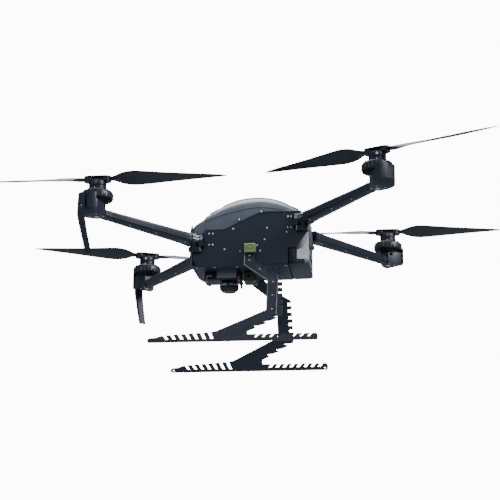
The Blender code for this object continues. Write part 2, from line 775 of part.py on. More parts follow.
def make_arm(corner, side, end, height, spin, azimuth):
    """One arm with its bracket, hinge, latch, motor and propeller."""
    axis = (side * HINGE_A, end * 135.0, height + HINGE_H)
    arm = joint_empty("fold_axis_" + corner, axis)
    fixed = (
        ("arm_bracket_", bracket_shape(), "dark_plastic", axis),
        ("arm_hinge_pin_", pin_shape(), "anodised_green", axis),
        ("arm_latch_", latch_shape(), "steel", (side * 90.0, end * 118.0, height + 5.0)),
    )
    for name, shape, finish, origin in fixed:
        piece(name + corner, in_quarter(shape, side, end, height), finish, origin)
    moving = [
        ("arm_beam_", arm_beam_shape(), "dark_plastic"),
        ("motor_mount_", motor_mount_shape(), "dark_plastic"),
    ]
    if end < 0:
        moving.append(("antenna_leg_", antenna_shape(), "antenna"))
    for name, shape, finish in moving:
        piece(name + corner, in_quarter(shape, side, end, height), finish, axis, arm)
    stator = stator_shape()
    shaft = (side * MOTOR_OUT, end * MOTOR_OUT, height)
    stator.transform(Matrix.Translation(shaft))
    piece("motor_stator_" + corner, stator, "copper", shaft, arm)
    make_rotor(corner, side, end, height, spin, azimuth, arm)


def make_arms():
    """The four arms: left is +X, front is -Y, and diagonal rotors turn the same way."""
    corners = (
        ("front_left", 1, -1, FRONT_ARM_HEIGHT, -1, 90.0),
        ("front_right", -1, -1, FRONT_ARM_HEIGHT, 1, -71.0),
        ("rear_left", 1, 1, REAR_ARM_HEIGHT, 1, -115.0),
        ("rear_right", -1, 1, REAR_ARM_HEIGHT, -1, 91.0),
    )
    for corner, side, end, height, spin, azimuth in corners:
        make_arm(corner, side, end, height, spin, math.radians(azimuth))


def main():
    clear_scene()
    make_collection("quadcopter_drone")
    make_collection("cutters")
    make_side_plates()
    make_belly_tray()
    make_nose_cover()
    make_hood()
    make_inner_parts()
    make_battery()
    make_payload_parts()
    make_landing_gear()
    make_arms()


if __name__ == "__main__":
    main()
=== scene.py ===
"""Finished look of a folding quadcopter drone, laid out as a Blender add-on.

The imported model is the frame. Every piece made here rides on one of its bodies. The nose points to -Y,
+X is the drone's left side, and the origin lies under the payload dock. Sizes are in metres.
"""

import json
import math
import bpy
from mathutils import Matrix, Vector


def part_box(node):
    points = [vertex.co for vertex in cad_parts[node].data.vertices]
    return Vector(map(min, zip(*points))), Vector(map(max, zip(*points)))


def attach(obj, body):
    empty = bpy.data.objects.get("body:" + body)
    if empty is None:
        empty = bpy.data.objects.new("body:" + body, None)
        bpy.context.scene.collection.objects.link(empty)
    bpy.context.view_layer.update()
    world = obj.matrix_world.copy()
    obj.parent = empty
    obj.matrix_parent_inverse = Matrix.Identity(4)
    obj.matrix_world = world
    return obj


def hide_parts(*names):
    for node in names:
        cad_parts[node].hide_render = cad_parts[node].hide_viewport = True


bl_info = {
    "name": "Folding Quadcopter Drone",
    "version": (1, 0, 0),
    "blender": (4, 5, 0),
    "location": "3D View > Sidebar > Drone",
    "description": "Builds the finished surfaces, fasteners and materials of a folding quadcopter drone",
    "category": "Object",
}

import bmesh
import bpy
from mathutils import Matrix, Vector

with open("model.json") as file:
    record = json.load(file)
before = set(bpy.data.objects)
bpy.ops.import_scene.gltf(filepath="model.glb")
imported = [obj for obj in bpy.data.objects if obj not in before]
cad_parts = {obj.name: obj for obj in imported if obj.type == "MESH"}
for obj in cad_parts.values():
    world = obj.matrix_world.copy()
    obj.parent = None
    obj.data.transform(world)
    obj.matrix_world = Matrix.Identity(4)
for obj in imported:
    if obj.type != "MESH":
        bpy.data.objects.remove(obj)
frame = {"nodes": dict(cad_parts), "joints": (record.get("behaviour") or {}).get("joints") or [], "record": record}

CORNERS = ("front_left", "front_right", "rear_left", "rear_right")
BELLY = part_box("belly_tray")[0][2]
JOINTS = {joint["name"]: joint for joint in frame["joints"]}
SLOTS = {entry["node"]: entry["material_slot"] for entry in frame["record"]["subparts"]}
ARM_ROOT = (0.080, 0.140)
COLLAR_TOP = 0.014
MOUNT_REACH = 0.0163
MOUNT_FLOOR = -0.0099
HOOD_HALF = 0.0743
BLADE_HEIGHT = 0.0820
BODY_OF = {}
for body_name, body_nodes in frame["record"]["behaviour"]["bodies"].items():
    for node_name in body_nodes:
        BODY_OF[node_name] = body_name


# ---- settings -------------------------------------------------------------------------------------


def colour_setting(name, description, default):
    """A colour property with its usual limits."""
    return bpy.props.FloatVectorProperty(
        name=name, description=description, subtype="COLOR", size=3, min=0.0, max=1.0, default=default
    )


def length_setting(name, description, default):
    """A length property in metres."""
    return bpy.props.FloatProperty(
        name=name, description=description, default=default, min=0.0, unit="LENGTH", subtype="DISTANCE"
    )


class DroneFinishSettings(bpy.types.PropertyGroup):
    """Colours of the drone's finishes."""

    dark_plastic: colour_setting("Dark plastic", "Arms, body and brackets", (0.008, 0.0125, 0.027))
    carbon: colour_setting("Carbon plate", "Side plates and landing gear", (0.008, 0.0115, 0.023))
    hood: colour_setting("Hood", "Domed top cover", (0.115, 0.130, 0.165))
    # The tail colour also paints the highlight line on the landing legs' front flanges.
    tail: colour_setting("Tail", "Pale panels on the battery's grip", (0.28, 0.285, 0.30))
    accent: colour_setting("Accent", "Anodised hinge pins and leg sockets", (0.34, 0.42, 0.13))
    blade: colour_setting("Blade", "Propeller blades", (0.009, 0.013, 0.021))
    marker_red: colour_setting("Clockwise marker", "Dot on clockwise propellers", (0.55, 0.03, 0.03))
    marker_white: colour_setting("Anticlockwise marker", "Dot on the others", (0.75, 0.75, 0.72))


class DroneSizeSettings(bpy.types.PropertyGroup):
    """Sizes of the drone's small parts."""

    screw_radius: length_setting("Screw radius", "Radius of a button-head screw", 0.0026)
    edge_width: length_setting("Edge width", "Rounding of moulded and machined edges", 0.0006)
    blade_stations: bpy.props.IntProperty(
        name="Blade stations", description="Sections along each blade", default=44, min=12, max=120
    )
    coil_count: bpy.props.IntProperty(
        name="Coils", description="Windings in each motor", default=18, min=6, max=36
    )
    weave_size: length_setting("Weave size", "Width of one carbon tow", 0.0016)


# ---- shader groups and materials --------------------------------------------------------------------


def link(tree, output, target):
    """Join two sockets."""
    tree.links.new(output, target)


def math_node(tree, operation, first, second=None):
    """A math node whose inputs are numbers or sockets, and its output."""
    node = tree.nodes.new("ShaderNodeMath")
    node.operation = operation
    for index, value in enumerate((first, second)):
        if value is None:
            continue
        if isinstance(value, (int, float)):
            node.inputs[index].default_value = value
        else:
            link(tree, value, node.inputs[index])
    return node.outputs[0]


def new_group(name, inputs, outputs):
    """An empty shader group with float sockets, and its two end nodes."""
    group = bpy.data.node_groups.new(name, "ShaderNodeTree")
    for label, value in inputs:
        socket = group.interface.new_socket(label, in_out="INPUT", socket_type="NodeSocketFloat")
        socket.default_value = value
    for label in outputs:
        group.interface.new_socket(label, in_out="OUTPUT", socket_type="NodeSocketFloat")
    return group, group.nodes.new("NodeGroupInput"), group.nodes.new("NodeGroupOutput")


def grain_group():
    """Moulded or sprayed surface: fine grain, and broad patches of a slightly different shade."""
    inputs = (("Scale", 900.0), ("Patch Scale", 14.0))
    group, given, result = new_group("surface_grain", inputs, ("Grain", "Patches"))
    place = group.nodes.new("ShaderNodeTexCoord")
    for label, output, detail in (("Scale", "Grain", 3.0), ("Patch Scale", "Patches", 5.0)):
        noise = group.nodes.new("ShaderNodeTexNoise")
        noise.inputs["Detail"].default_value = detail
        link(group, place.outputs["Object"], noise.inputs["Vector"])
        link(group, given.outputs[label], noise.inputs["Scale"])
        link(group, noise.outputs["Fac"], result.inputs[output])
    return group


def wear_group():
    """Rubbed edges and corners, broken up by noise."""
    group, given, result = new_group("edge_wear", (("Amount", 0.5), ("Scale", 160.0)), ("Wear",))
    shape = group.nodes.new("ShaderNodeNewGeometry")
    place = group.nodes.new("ShaderNodeTexCoord")
    noise = group.nodes.new("ShaderNodeTexNoise")
    link(group, place.outputs["Object"], noise.inputs["Vector"])
    link(group, given.outputs["Scale"], noise.inputs["Scale"])
    raised = math_node(group, "SUBTRACT", shape.outputs["Pointiness"], 0.52)
    sharp = math_node(group, "MULTIPLY", raised, 12.0)
    broken = math_node(group, "MULTIPLY", sharp, noise.outputs["Fac"])
    wear = group.nodes.new("ShaderNodeClamp")
    link(group, math_node(group, "MULTIPLY", broken, given.outputs["Amount"]), wear.inputs["Value"])
    link(group, wear.outputs[0], result.inputs["Wear"])
    return group


def weave_group():
    """Two-by-two twill cloth on plates that stand along Y and Z."""
    group, given, result = new_group("carbon_weave", (("Tow", 0.0016),), ("Tone", "Height"))
    place = group.nodes.new("ShaderNodeTexCoord")
    split = group.nodes.new("ShaderNodeSeparateXYZ")
    link(group, place.outputs["Object"], split.inputs[0])
    across = math_node(group, "DIVIDE", split.outputs["Y"], given.outputs["Tow"])
    up = math_node(group, "DIVIDE", split.outputs["Z"], given.outputs["Tow"])
    steps = math_node(group, "ADD", math_node(group, "FLOOR", across), math_node(group, "FLOOR", up))
    over = math_node(group, "LESS_THAN", math_node(group, "FLOORED_MODULO", steps, 4.0), 1.5)
    under = math_node(group, "SUBTRACT", 1.0, over)
    threads = []
    for way, shown in ((across, over), (up, under)):
        wave = math_node(group, "SINE", math_node(group, "MULTIPLY", way, math.pi))
        threads.append(math_node(group, "MULTIPLY", shown, math_node(group, "ABSOLUTE", wave)))
    height = math_node(group, "ADD", *threads)
    link(group, over, result.inputs["Tone"])
    link(group, height, result.inputs["Height"])
    return group


def dust_group():
    """Fine dust that settles on surfaces facing up."""
    group, given, result = new_group("settled_dust", (("Amount", 0.4),), ("Dust",))
    shape = group.nodes.new("ShaderNodeNewGeometry")
    place = group.nodes.new("ShaderNodeTexCoord")
    split = group.nodes.new("ShaderNodeSeparateXYZ")
    link(group, shape.outputs["Normal"], split.inputs[0])
    noise = group.nodes.new("ShaderNodeTexNoise")
    noise.inputs["Scale"].default_value = 55.0
    noise.inputs["Detail"].default_value = 6.0
    link(group, place.outputs["Object"], noise.inputs["Vector"])
    facing = math_node(group, "MAXIMUM", split.outputs["Z"], 0.0)
    patchy = math_node(group, "MULTIPLY", facing, noise.outputs["Fac"])
    link(group, math_node(group, "MULTIPLY", patchy, given.outputs["Amount"]), result.inputs["Dust"])
    return group


def place_group(tree, name, **values):
    """Put a shared group in a material, with its own values."""
    builders = {
        "surface_grain": grain_group, "edge_wear": wear_group, "carbon_weave": weave_group,
        "settled_dust": dust_group,
    }
    group = bpy.data.node_groups.get(name) or builders[name]()
    node = tree.nodes.new("ShaderNodeGroup")
    node.node_tree = group
    for label, value in values.items():
        node.inputs[label.replace("_", " ")].default_value = value
    return node


def blend_colour(tree, factor, first, second):
    """Mix two colours, each a triple or a socket."""
    mix = tree.nodes.new("ShaderNodeMix")
    mix.data_type = "RGBA"
    link(tree, factor, mix.inputs["Factor"])
    for label, value in (("A", first), ("B", second)):
        socket = [item for item in mix.inputs if item.name == label and item.type == "RGBA"][0]
        if isinstance(value, tuple):
            socket.default_value = (*value, 1.0)
        else:
            link(tree, value, socket)
    return [item for item in mix.outputs if item.type == "RGBA"][0]


def shade(colour, amount):
    """A colour made lighter or darker."""
    return tuple(min(channel * amount, 1.0) for channel in colour)


def make_finish(name, colour, metallic=0.0, roughness=0.45, grain=900.0, bump=0.15, wear=0.35,
                wear_colour=None, dust=0.12, weave=0.0, coat=0.0):
    """A Principled material with grain, patches, rubbed edges and a little dust."""
    colour = tuple(colour)
    material = bpy.data.materials.new("drone_" + name)
    material.use_nodes = True
    tree = material.node_tree
    shader = tree.nodes["Principled BSDF"]
    shader.inputs["Metallic"].default_value = metallic
    if coat:
        shader.inputs["Coat Weight"].default_value = coat
        shader.inputs["Coat Roughness"].default_value = 0.12
    surface = place_group(tree, "surface_grain", Scale=grain, Patch_Scale=16.0)
    rubbed = place_group(tree, "edge_wear", Amount=wear, Scale=170.0)
    settled = place_group(tree, "settled_dust", Amount=dust)
    tone = blend_colour(tree, surface.outputs["Patches"], shade(colour, 0.72), shade(colour, 1.28))
    height = surface.outputs["Grain"]
    if weave:
        cloth = place_group(tree, "carbon_weave", Tow=weave)
        tone = blend_colour(tree, cloth.outputs["Tone"], tone, shade(colour, 1.6))
        height = cloth.outputs["Height"]
    tone = blend_colour(tree, rubbed.outputs["Wear"], tone, wear_colour or shade(colour, 2.6))
    tone = blend_colour(tree, settled.outputs["Dust"], tone, (0.30, 0.29, 0.27))
    link(tree, tone, shader.inputs["Base Color"])
    rough = tree.nodes.new("ShaderNodeMapRange")
    rough.inputs["To Min"].default_value = max(roughness - 0.10, 0.05)
    rough.inputs["To Max"].default_value = min(roughness + 0.14, 1.0)
    link(tree, surface.outputs["Patches"], rough.inputs["Value"])
    link(tree, rough.outputs["Result"], shader.inputs["Roughness"])
    relief = tree.nodes.new("ShaderNodeBump")
    relief.inputs["Strength"].default_value = bump
    relief.inputs["Distance"].default_value = 0.0003
    link(tree, height, relief.inputs["Height"])
    link(tree, relief.outputs["Normal"], shader.inputs["Normal"])
    return material


def coat_of(name):
    """The finish with a plain name."""
    return bpy.data.materials["drone_" + name]


def build_finishes(finish, weave_size):
    """Every finish on the drone, named after the record's slots where there is one."""
    make_finish("dark_plastic", finish.dark_plastic, roughness=0.36)
    make_finish("carbon", finish.carbon, roughness=0.34, weave=weave_size, bump=0.25, coat=0.35, wear=0.5)
    make_finish("hood_grey", finish.hood, roughness=0.34, grain=1400.0, bump=0.05, coat=0.3, dust=0.15)
    # tail_grey also colours the legs' front flanges, where it is a painted highlight.
    make_finish("tail_grey", finish.tail, roughness=0.5, bump=0.2)
    make_finish("anodised_green", finish.accent, metallic=0.85, roughness=0.34, bump=0.06,
                wear_colour=(0.7, 0.72, 0.6), dust=0.1)
    make_finish("steel", (0.58, 0.59, 0.61), metallic=1.0, roughness=0.28, bump=0.05, dust=0.1)
    make_finish("dark_metal", (0.030, 0.032, 0.040), metallic=0.75, roughness=0.36, bump=0.06,
                wear_colour=(0.3, 0.3, 0.32))
    make_finish("copper", (0.024, 0.017, 0.014), metallic=0.4, roughness=0.4, grain=500.0, bump=0.3)
    make_finish("board_green", (0.02, 0.09, 0.05), roughness=0.5)
    # olive is the payload dock's anodised green darkened to how it looks in shadow: a painted shade.
    make_finish("olive", (0.050, 0.056, 0.036), metallic=0.3, roughness=0.5, bump=0.2)
    make_finish("blade", finish.blade, roughness=0.40, grain=1100.0, bump=0.12, wear=0.6)
    make_finish("antenna", (0.012, 0.016, 0.028), roughness=0.48)
    make_finish("rubber", (0.012, 0.012, 0.013), roughness=0.75, bump=0.4, dust=0.1)
    make_finish("grommet_pink", (0.42, 0.05, 0.09), roughness=0.55, bump=0.2)
    make_finish("marker_red", finish.marker_red, roughness=0.4)
    make_finish("marker_white", finish.marker_white, roughness=0.4)
    make_finish("lens_dark", (0.004, 0.005, 0.008), roughness=0.1, bump=0.0, wear=0.0, coat=1.0)
    make_finish("gold", (0.75, 0.55, 0.22), metallic=1.0, roughness=0.25, bump=0.03)
    make_finish("lamp_clear", (0.55, 0.58, 0.55), roughness=0.15, bump=0.05, coat=0.8)


# ---- shape helpers ----------------------------------------------------------------------------------


def finished(name, shape, material, body, replaced=(), smooth=38.0):
    """Turn a bmesh into a piece that rides on a body, and put it in place of CAD nodes if any."""
    mesh = bpy.data.meshes.new(name)
    shape.to_mesh(mesh)
    shape.free()
    return finished_mesh(name, mesh, material, body, replaced, smooth)


def finished_mesh(name, mesh, material, body, replaced=(), smooth=38.0):
    """As finished, for a plain mesh."""
    mesh.shade_smooth()
    mesh.set_sharp_from_angle(angle=math.radians(smooth))
    mesh.materials.clear()
    mesh.materials.append(coat_of(material))
    obj = bpy.data.objects.new(name, mesh)
    bpy.context.scene.collection.objects.link(obj)
    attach(obj, body)
    if replaced:
        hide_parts(*replaced)
    return obj


def round_edges(shape, edges, width, segments=2):
    """Round the given edges."""
    bmesh.ops.bevel(shape, geom=edges, offset=width, segments=segments, profile=0.7, affect="EDGES")


def box_shape(low, high, bevel=0.0, segments=2):
    """A box with rounded edges."""
    shape = bmesh.new()
    bmesh.ops.create_cube(shape, size=1.0)
    low = Vector(low)
    high = Vector(high)
    shape.transform(Matrix.Translation((low + high) / 2) @ Matrix.Diagonal((*(high - low), 1.0)))
    if bevel:
        round_edges(shape, shape.edges[:], bevel, segments)
    return shape


def disc_shape(radius, start, end, bevel=0.0, segments=28):
    """A short cylinder between two points, with rounded rims."""
    start = Vector(start)
    end = Vector(end)
    shape = bmesh.new()
    depth = (end - start).length
    bmesh.ops.create_cone(
        shape, cap_ends=True, segments=segments, radius1=radius, radius2=radius, depth=depth
    )
    if bevel:
        rims = []
        for edge in shape.edges:
            first, second = edge.link_faces
            if len(first.verts) != len(second.verts):
                rims.append(edge)
        round_edges(shape, rims, bevel)
    turn = (end - start).to_track_quat("Z", "Y").to_matrix().to_4x4()
    shape.transform(Matrix.Translation((start + end) / 2) @ turn)
    return shape


def loft_shape(rings, closed_ends=True):
    """Join rings of equal size into one surface."""
    shape = bmesh.new()
    rows = [[shape.verts.new(point) for point in ring] for ring in rings]
    count = len(rows[0])
    for row, following in zip(rows, rows[1:]):
        for i in range(count):
            j = (i + 1) % count
            shape.faces.new((row[i], row[j], following[j], following[i]))
    if closed_ends:
        shape.faces.new(rows[0])
        shape.faces.new(rows[-1])
    bmesh.ops.recalc_face_normals(shape, faces=shape.faces[:])
    return shape


def tube_shape(points, radius, sides=10):
    """A round bar along a line of points."""
    rings = []
    for i, point in enumerate(points):
        before = Vector(points[max(i - 1, 0)])
        after = Vector(points[min(i + 1, len(points) - 1)])
        turn = (after - before).to_track_quat("Z", "Y")
        ring = []
        for side in range(sides):
            angle = math.tau * side / sides
            spoke = Vector((radius * math.cos(angle), radius * math.sin(angle), 0.0))
            ring.append(Vector(point) + turn @ spoke)
        rings.append(ring)
    return loft_shape(rings)


def gathered(shapes):
    """Put several shapes in one bmesh."""
    result = bmesh.new()
    for shape in shapes:
        mesh = bpy.data.meshes.new("part")
        shape.to_mesh(mesh)
        shape.free()
        result.from_mesh(mesh)
        bpy.data.meshes.remove(mesh)
    return result


def corner_signs(corner):
    """The signs of X and Y at a corner."""
    return (1 if corner.endswith("left") else -1), (1 if corner.startswith("rear") else -1)


def arm_height(corner):
    """Height of an arm's centre line."""
    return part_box("arm_beam_" + corner)[1][2] - COLLAR_TOP


def in_corner(shape, corner):
    """Move a shape from the quarter where X and Y are positive, with heights from the arm, to a corner."""
    across, along = corner_signs(corner)
    lift = Matrix.Translation((0, 0, arm_height(corner)))
    shape.transform(lift @ Matrix.Diagonal((across, along, 1.0, 1.0)))
    if across * along < 0:
        bmesh.ops.reverse_faces(shape, faces=shape.faces[:])
    return shape


def shaft_of(corner):
    """The point where a rotor's axis meets the arm's centre line."""
    x, y, _ = JOINTS["rotor_spin_" + corner]["pos_m"]
    return Vector((x, y, arm_height(corner)))


def arm_direction():
    """Direction of an arm from its root to its motor, in the positive quarter, and the root itself."""
    motor = shaft_of("rear_left").to_2d()
    root = Vector(ARM_ROOT)
    return (motor - root).normalized(), root, motor


def on_arm(along, aside, height):
    """A point from its distance along the arm, across it and above its centre line."""
    out, root, _ = arm_direction()
    spot = root + out * along + Vector((out.y, -out.x)) * aside
    return Vector((spot.x, spot.y, height))


# ---- repeated parts by Geometry Nodes ----------------------------------------------------------------


def node_tree_with(name, inputs):
    """An empty geometry tree with its inputs, and its end nodes."""
    tree = bpy.data.node_groups.new(name, "GeometryNodeTree")
    tree.interface.new_socket("Geometry", in_out="OUTPUT", socket_type="NodeSocketGeometry")
    tree.interface.new_socket("Geometry", in_out="INPUT", socket_type="NodeSocketGeometry")
    for label, kind in inputs:
        tree.interface.new_socket(label, in_out="INPUT", socket_type=kind)
    return tree, tree.nodes.new("NodeGroupInput"), tree.nodes.new("NodeGroupOutput")


def close_tree(tree, given, result, instances):
    """Realize the instances, give them the material and send them out."""
    real = tree.nodes.new("GeometryNodeRealizeInstances")
    coat = tree.nodes.new("GeometryNodeSetMaterial")
    link(tree, instances, real.inputs[0])
    link(tree, real.outputs[0], coat.inputs["Geometry"])
    link(tree, given.outputs["Material"], coat.inputs["Material"])
    link(tree, coat.outputs[0], result.inputs[0])


def screw_tree():
    """Button-head screws with a twelve-sided socket, one on each point, turned along its direction."""
    tree, given, result = node_tree_with("button_head_screws", (
        ("Radius", "NodeSocketFloat"), ("Height", "NodeSocketFloat"), ("Material", "NodeSocketMaterial"),
    ))
    disc = tree.nodes.new("GeometryNodeMeshCircle")
    disc.fill_type = "NGON"
    disc.inputs["Vertices"].default_value = 12
    link(tree, given.outputs["Radius"], disc.inputs["Radius"])
    surface = disc.outputs[0]
    chosen = None
    steps = (("rise", 0.6, 0.80), ("dome", 0.4, 0.62), ("socket", -0.7, 1.0))
    for label, share, shrink in steps:
        extrude = tree.nodes.new("GeometryNodeExtrudeMesh")
        extrude.label = label
        link(tree, surface, extrude.inputs["Mesh"])
        if chosen:
            link(tree, chosen, extrude.inputs["Selection"])
        scaled = tree.nodes.new("ShaderNodeMath")
        scaled.operation = "MULTIPLY"
        scaled.inputs[1].default_value = share
        link(tree, given.outputs["Height"], scaled.inputs[0])
        link(tree, scaled.outputs[0], extrude.inputs["Offset Scale"])
        narrow = tree.nodes.new("GeometryNodeScaleElements")
        narrow.domain = "FACE"
        link(tree, extrude.outputs["Mesh"], narrow.inputs["Geometry"])
        link(tree, extrude.outputs["Top"], narrow.inputs["Selection"])
        narrow.inputs["Scale"].default_value = shrink
        surface = narrow.outputs[0]
        chosen = extrude.outputs["Top"]
    direction = tree.nodes.new("GeometryNodeInputNamedAttribute")
    direction.data_type = "FLOAT_VECTOR"
    direction.inputs["Name"].default_value = "facing"
    align = tree.nodes.new("FunctionNodeAlignRotationToVector")
    align.axis = "Z"
    link(tree, direction.outputs["Attribute"], align.inputs["Vector"])
    instance = tree.nodes.new("GeometryNodeInstanceOnPoints")
    link(tree, given.outputs["Geometry"], instance.inputs["Points"])
    link(tree, surface, instance.inputs["Instance"])
    link(tree, align.outputs[0], instance.inputs["Rotation"])
    close_tree(tree, given, result, instance.outputs[0])
    return tree


def ring_tree():
    """Blocks spaced evenly round an upright axis, each facing outwards."""
    tree, given, result = node_tree_with("ring_of_blocks", (
        ("Count", "NodeSocketInt"), ("Radius", "NodeSocketFloat"), ("Block", "NodeSocketVector"),
        ("Material", "NodeSocketMaterial"),
    ))
    circle = tree.nodes.new("GeometryNodeMeshCircle")
    link(tree, given.outputs["Count"], circle.inputs["Vertices"])
    link(tree, given.outputs["Radius"], circle.inputs["Radius"])
    block = tree.nodes.new("GeometryNodeMeshCube")
    link(tree, given.outputs["Block"], block.inputs["Size"])
    spot = tree.nodes.new("GeometryNodeInputPosition")
    align = tree.nodes.new("FunctionNodeAlignRotationToVector")
    align.axis = "X"
    align.pivot_axis = "Z"
    link(tree, spot.outputs[0], align.inputs["Vector"])
    instance = tree.nodes.new("GeometryNodeInstanceOnPoints")
    link(tree, circle.outputs[0], instance.inputs["Points"])
    link(tree, block.outputs[0], instance.inputs["Instance"])
    link(tree, align.outputs[0], instance.inputs["Rotation"])
    close_tree(tree, given, result, instance.outputs[0])
    return tree


def row_tree():
    """Blocks in a straight row."""
    tree, given, result = node_tree_with("row_of_blocks", (
        ("Count", "NodeSocketInt"), ("Start", "NodeSocketVector"), ("Step", "NodeSocketVector"),
        ("Block", "NodeSocketVector"), ("Material", "NodeSocketMaterial"),
    ))
    row = tree.nodes.new("GeometryNodeMeshLine")
    link(tree, given.outputs["Count"], row.inputs["Count"])
    link(tree, given.outputs["Start"], row.inputs["Start Location"])
    link(tree, given.outputs["Step"], row.inputs["Offset"])
    block = tree.nodes.new("GeometryNodeMeshCube")
    link(tree, given.outputs["Block"], block.inputs["Size"])
    instance = tree.nodes.new("GeometryNodeInstanceOnPoints")
    link(tree, row.outputs[0], instance.inputs["Points"])
    link(tree, block.outputs[0], instance.inputs["Instance"])
    close_tree(tree, given, result, instance.outputs[0])
    return tree


TREES = {"button_head_screws": screw_tree, "ring_of_blocks": ring_tree, "row_of_blocks": row_tree}


def grown(tree_name, values, points=()):
    """Run a geometry tree over points of (place, direction), and return the plain mesh."""
    tree = bpy.data.node_groups.get(tree_name) or TREES[tree_name]()
    mesh = bpy.data.meshes.new("seed")
    mesh.from_pydata([tuple(place) for place, _ in points], [], [])
    if points:
        facing = mesh.attributes.new("facing", "FLOAT_VECTOR", "POINT")
        facing.data.foreach_set("vector", [value for _, way in points for value in way])
    obj = bpy.data.objects.new("seed", mesh)
    bpy.context.scene.collection.objects.link(obj)
    grow = obj.modifiers.new("grow", "NODES")
    grow.node_group = tree
    for item in tree.interface.items_tree:
        if item.in_out == "INPUT" and item.name in values:
            grow[item.identifier] = values[item.name]
    bpy.context.view_layer.update()
    result = bpy.data.meshes.new_from_object(obj.evaluated_get(bpy.context.evaluated_depsgraph_get()))
    bpy.data.objects.remove(obj, do_unlink=True)
    return result


def shape_of(mesh):
    """A bmesh of a mesh that isn't needed again."""
    shape = bmesh.new()
    shape.from_mesh(mesh)
    bpy.data.meshes.remove(mesh)
    return shape


def place_screws(name, body, points, scale=1.0):
    """A set of screws on one body, each a place and the direction it faces."""
    radius = bpy.context.scene.drone_sizes.screw_radius * scale
    values = {"Radius": radius, "Height": radius * 0.55, "Material": coat_of("steel")}
    finished_mesh(name, grown("button_head_screws", values, points), "steel", body)


def block_row(name, count, start, step, block, material, body):
    """A straight row of small blocks as one piece."""
    values = {"Count": count, "Start": start, "Step": step, "Block": block, "Material": coat_of(material)}
    finished_mesh(name, grown("row_of_blocks", values), material, body)


def block_ring(name, count, radius, block, place, material, body):
    """A ring of small blocks round an upright axis as one piece."""
    values = {"Count": count, "Radius": radius, "Block": block, "Material": coat_of(material)}
    shape = shape_of(grown("ring_of_blocks", values))
    shape.transform(Matrix.Translation(place))
    finished(name, shape, material, body)


# ---- operators --------------------------------------------------------------------------------------


def softened(node, width):
    """A copy of a CAD node with its flat faces merged and its edges rounded."""
    shape = bmesh.new()
    shape.from_mesh(frame["nodes"][node].data)
    bmesh.ops.remove_doubles(shape, verts=shape.verts[:], dist=0.00002)
    bmesh.ops.dissolve_limit(
        shape, angle_limit=math.radians(1.0), verts=shape.verts[:], edges=shape.edges[:]
    )
    sharp = []
    for edge in shape.edges:
        if len(edge.link_faces) == 2 and edge.calc_face_angle(0.0) > math.radians(34.0):
            sharp.append(edge)
    bmesh.ops.bevel(
        shape, geom=sharp, offset=width, segments=2, profile=0.7, affect="EDGES", clamp_overlap=True
    )
    return shape


class DRONE_OT_soften_parts(bpy.types.Operator):
    """Round the edges of every moulded and machined part, and give each its finish"""

    bl_idname = "drone.soften_parts"
    bl_label = "Soften Parts"

    def execute(self, context):
        width = context.scene.drone_sizes.edge_width
        rebuilt = ("hood", "prop_blade_")
        for node, slot in SLOTS.items():
            if node.startswith(rebuilt):
                continue
            shape = softened(node, width)
            material = {"battery_pack": "dark_plastic", "port_lock_ring": "dark_metal"}.get(node, slot)
            finished(node + "_finish", shape, material, BODY_OF[node], (node,))
        return {"FINISHED"}


def blade_section(radius, chord, pitch, thickness, lead, rise, points):
    """One rounded aerofoil across a blade that points along +X and moves towards +Y."""
    ring = []
    for i in range(points):
        angle = math.tau * i / points
        across = 0.5 * math.cos(angle)
        full = math.sin(angle) * 0.5 * (1.0 + 0.35 * math.cos(angle))
        camber = 0.16 * (0.25 - across * across)
        y = across * chord + lead
        z = full * thickness + camber * chord * 0.35
        level = y * math.cos(pitch) - z * math.sin(pitch)
        ring.append((radius, level, rise + y * math.sin(pitch) + z * math.cos(pitch)))
    return ring


# Radius, chord, pitch in degrees, thickness and lead.
BLADE_TABLE = (
    (0.026, 0.019, 0.0, 0.0058, 0.0),
    (0.034, 0.021, 0.0, 0.0062, 0.0),
    (0.040, 0.026, 4.0, 0.0094, 0.0),
    (0.050, 0.036, 15.0, 0.0094, 0.0005),
    (0.062, 0.045, 23.0, 0.0082, 0.001),
    (0.088, 0.051, 25.0, 0.0060, 0.001),
    (0.120, 0.048, 21.0, 0.0050, 0.0),
    (0.165, 0.040, 16.5, 0.0040, -0.001),
    (0.215, 0.030, 13.0, 0.0031, -0.002),
    (0.262, 0.0195, 10.5, 0.0024, -0.003),
    (0.292, 0.0115, 9.0, 0.0018, -0.004),
    (0.3045, 0.0055, 8.0, 0.0012, -0.005),
)


def between_stations(radius):
    """Chord, pitch, thickness and lead at a radius, eased between the named stations."""
    for low, high in zip(BLADE_TABLE, BLADE_TABLE[1:]):
        if radius <= high[0] + 1e-9:
            share = (radius - low[0]) / (high[0] - low[0])
            return [a + (b - a) * share for a, b in zip(low[1:], high[1:])]
    return list(BLADE_TABLE[-1][1:])


def smoothed(values, passes=2):
    """Average each value with its neighbours, keeping the ends."""
    for _ in range(passes):
        middle = [(a + 2 * b + c) / 4 for a, b, c in zip(values, values[1:], values[2:])]
        values = [values[0], *middle, values[-1]]
    return values


def blade_shape(stations):
    """A blade with its clamp disc, pointing along +X from the shaft, at heights above the arm."""
    start, end = BLADE_TABLE[0][0], BLADE_TABLE[-1][0]
    radii = [start + (end - start) * i / (stations - 1) for i in range(stations)]
    columns = [smoothed(list(column)) for column in zip(*(between_stations(radius) for radius in radii))]
    rings = []
    for radius, chord, pitch, thickness, lead in zip(radii, *columns):
        rise = BLADE_HEIGHT + 0.002 * max((radius - 0.040) / 0.265, 0.0) ** 1.3
        rings.append(blade_section(radius, chord, math.radians(pitch), thickness, lead, rise, 20))
    disc = disc_shape(0.012, (0.020, 0, 0.0789), (0.020, 0, 0.0851), 0.0006, 36)
    return gathered([loft_shape(rings), disc])


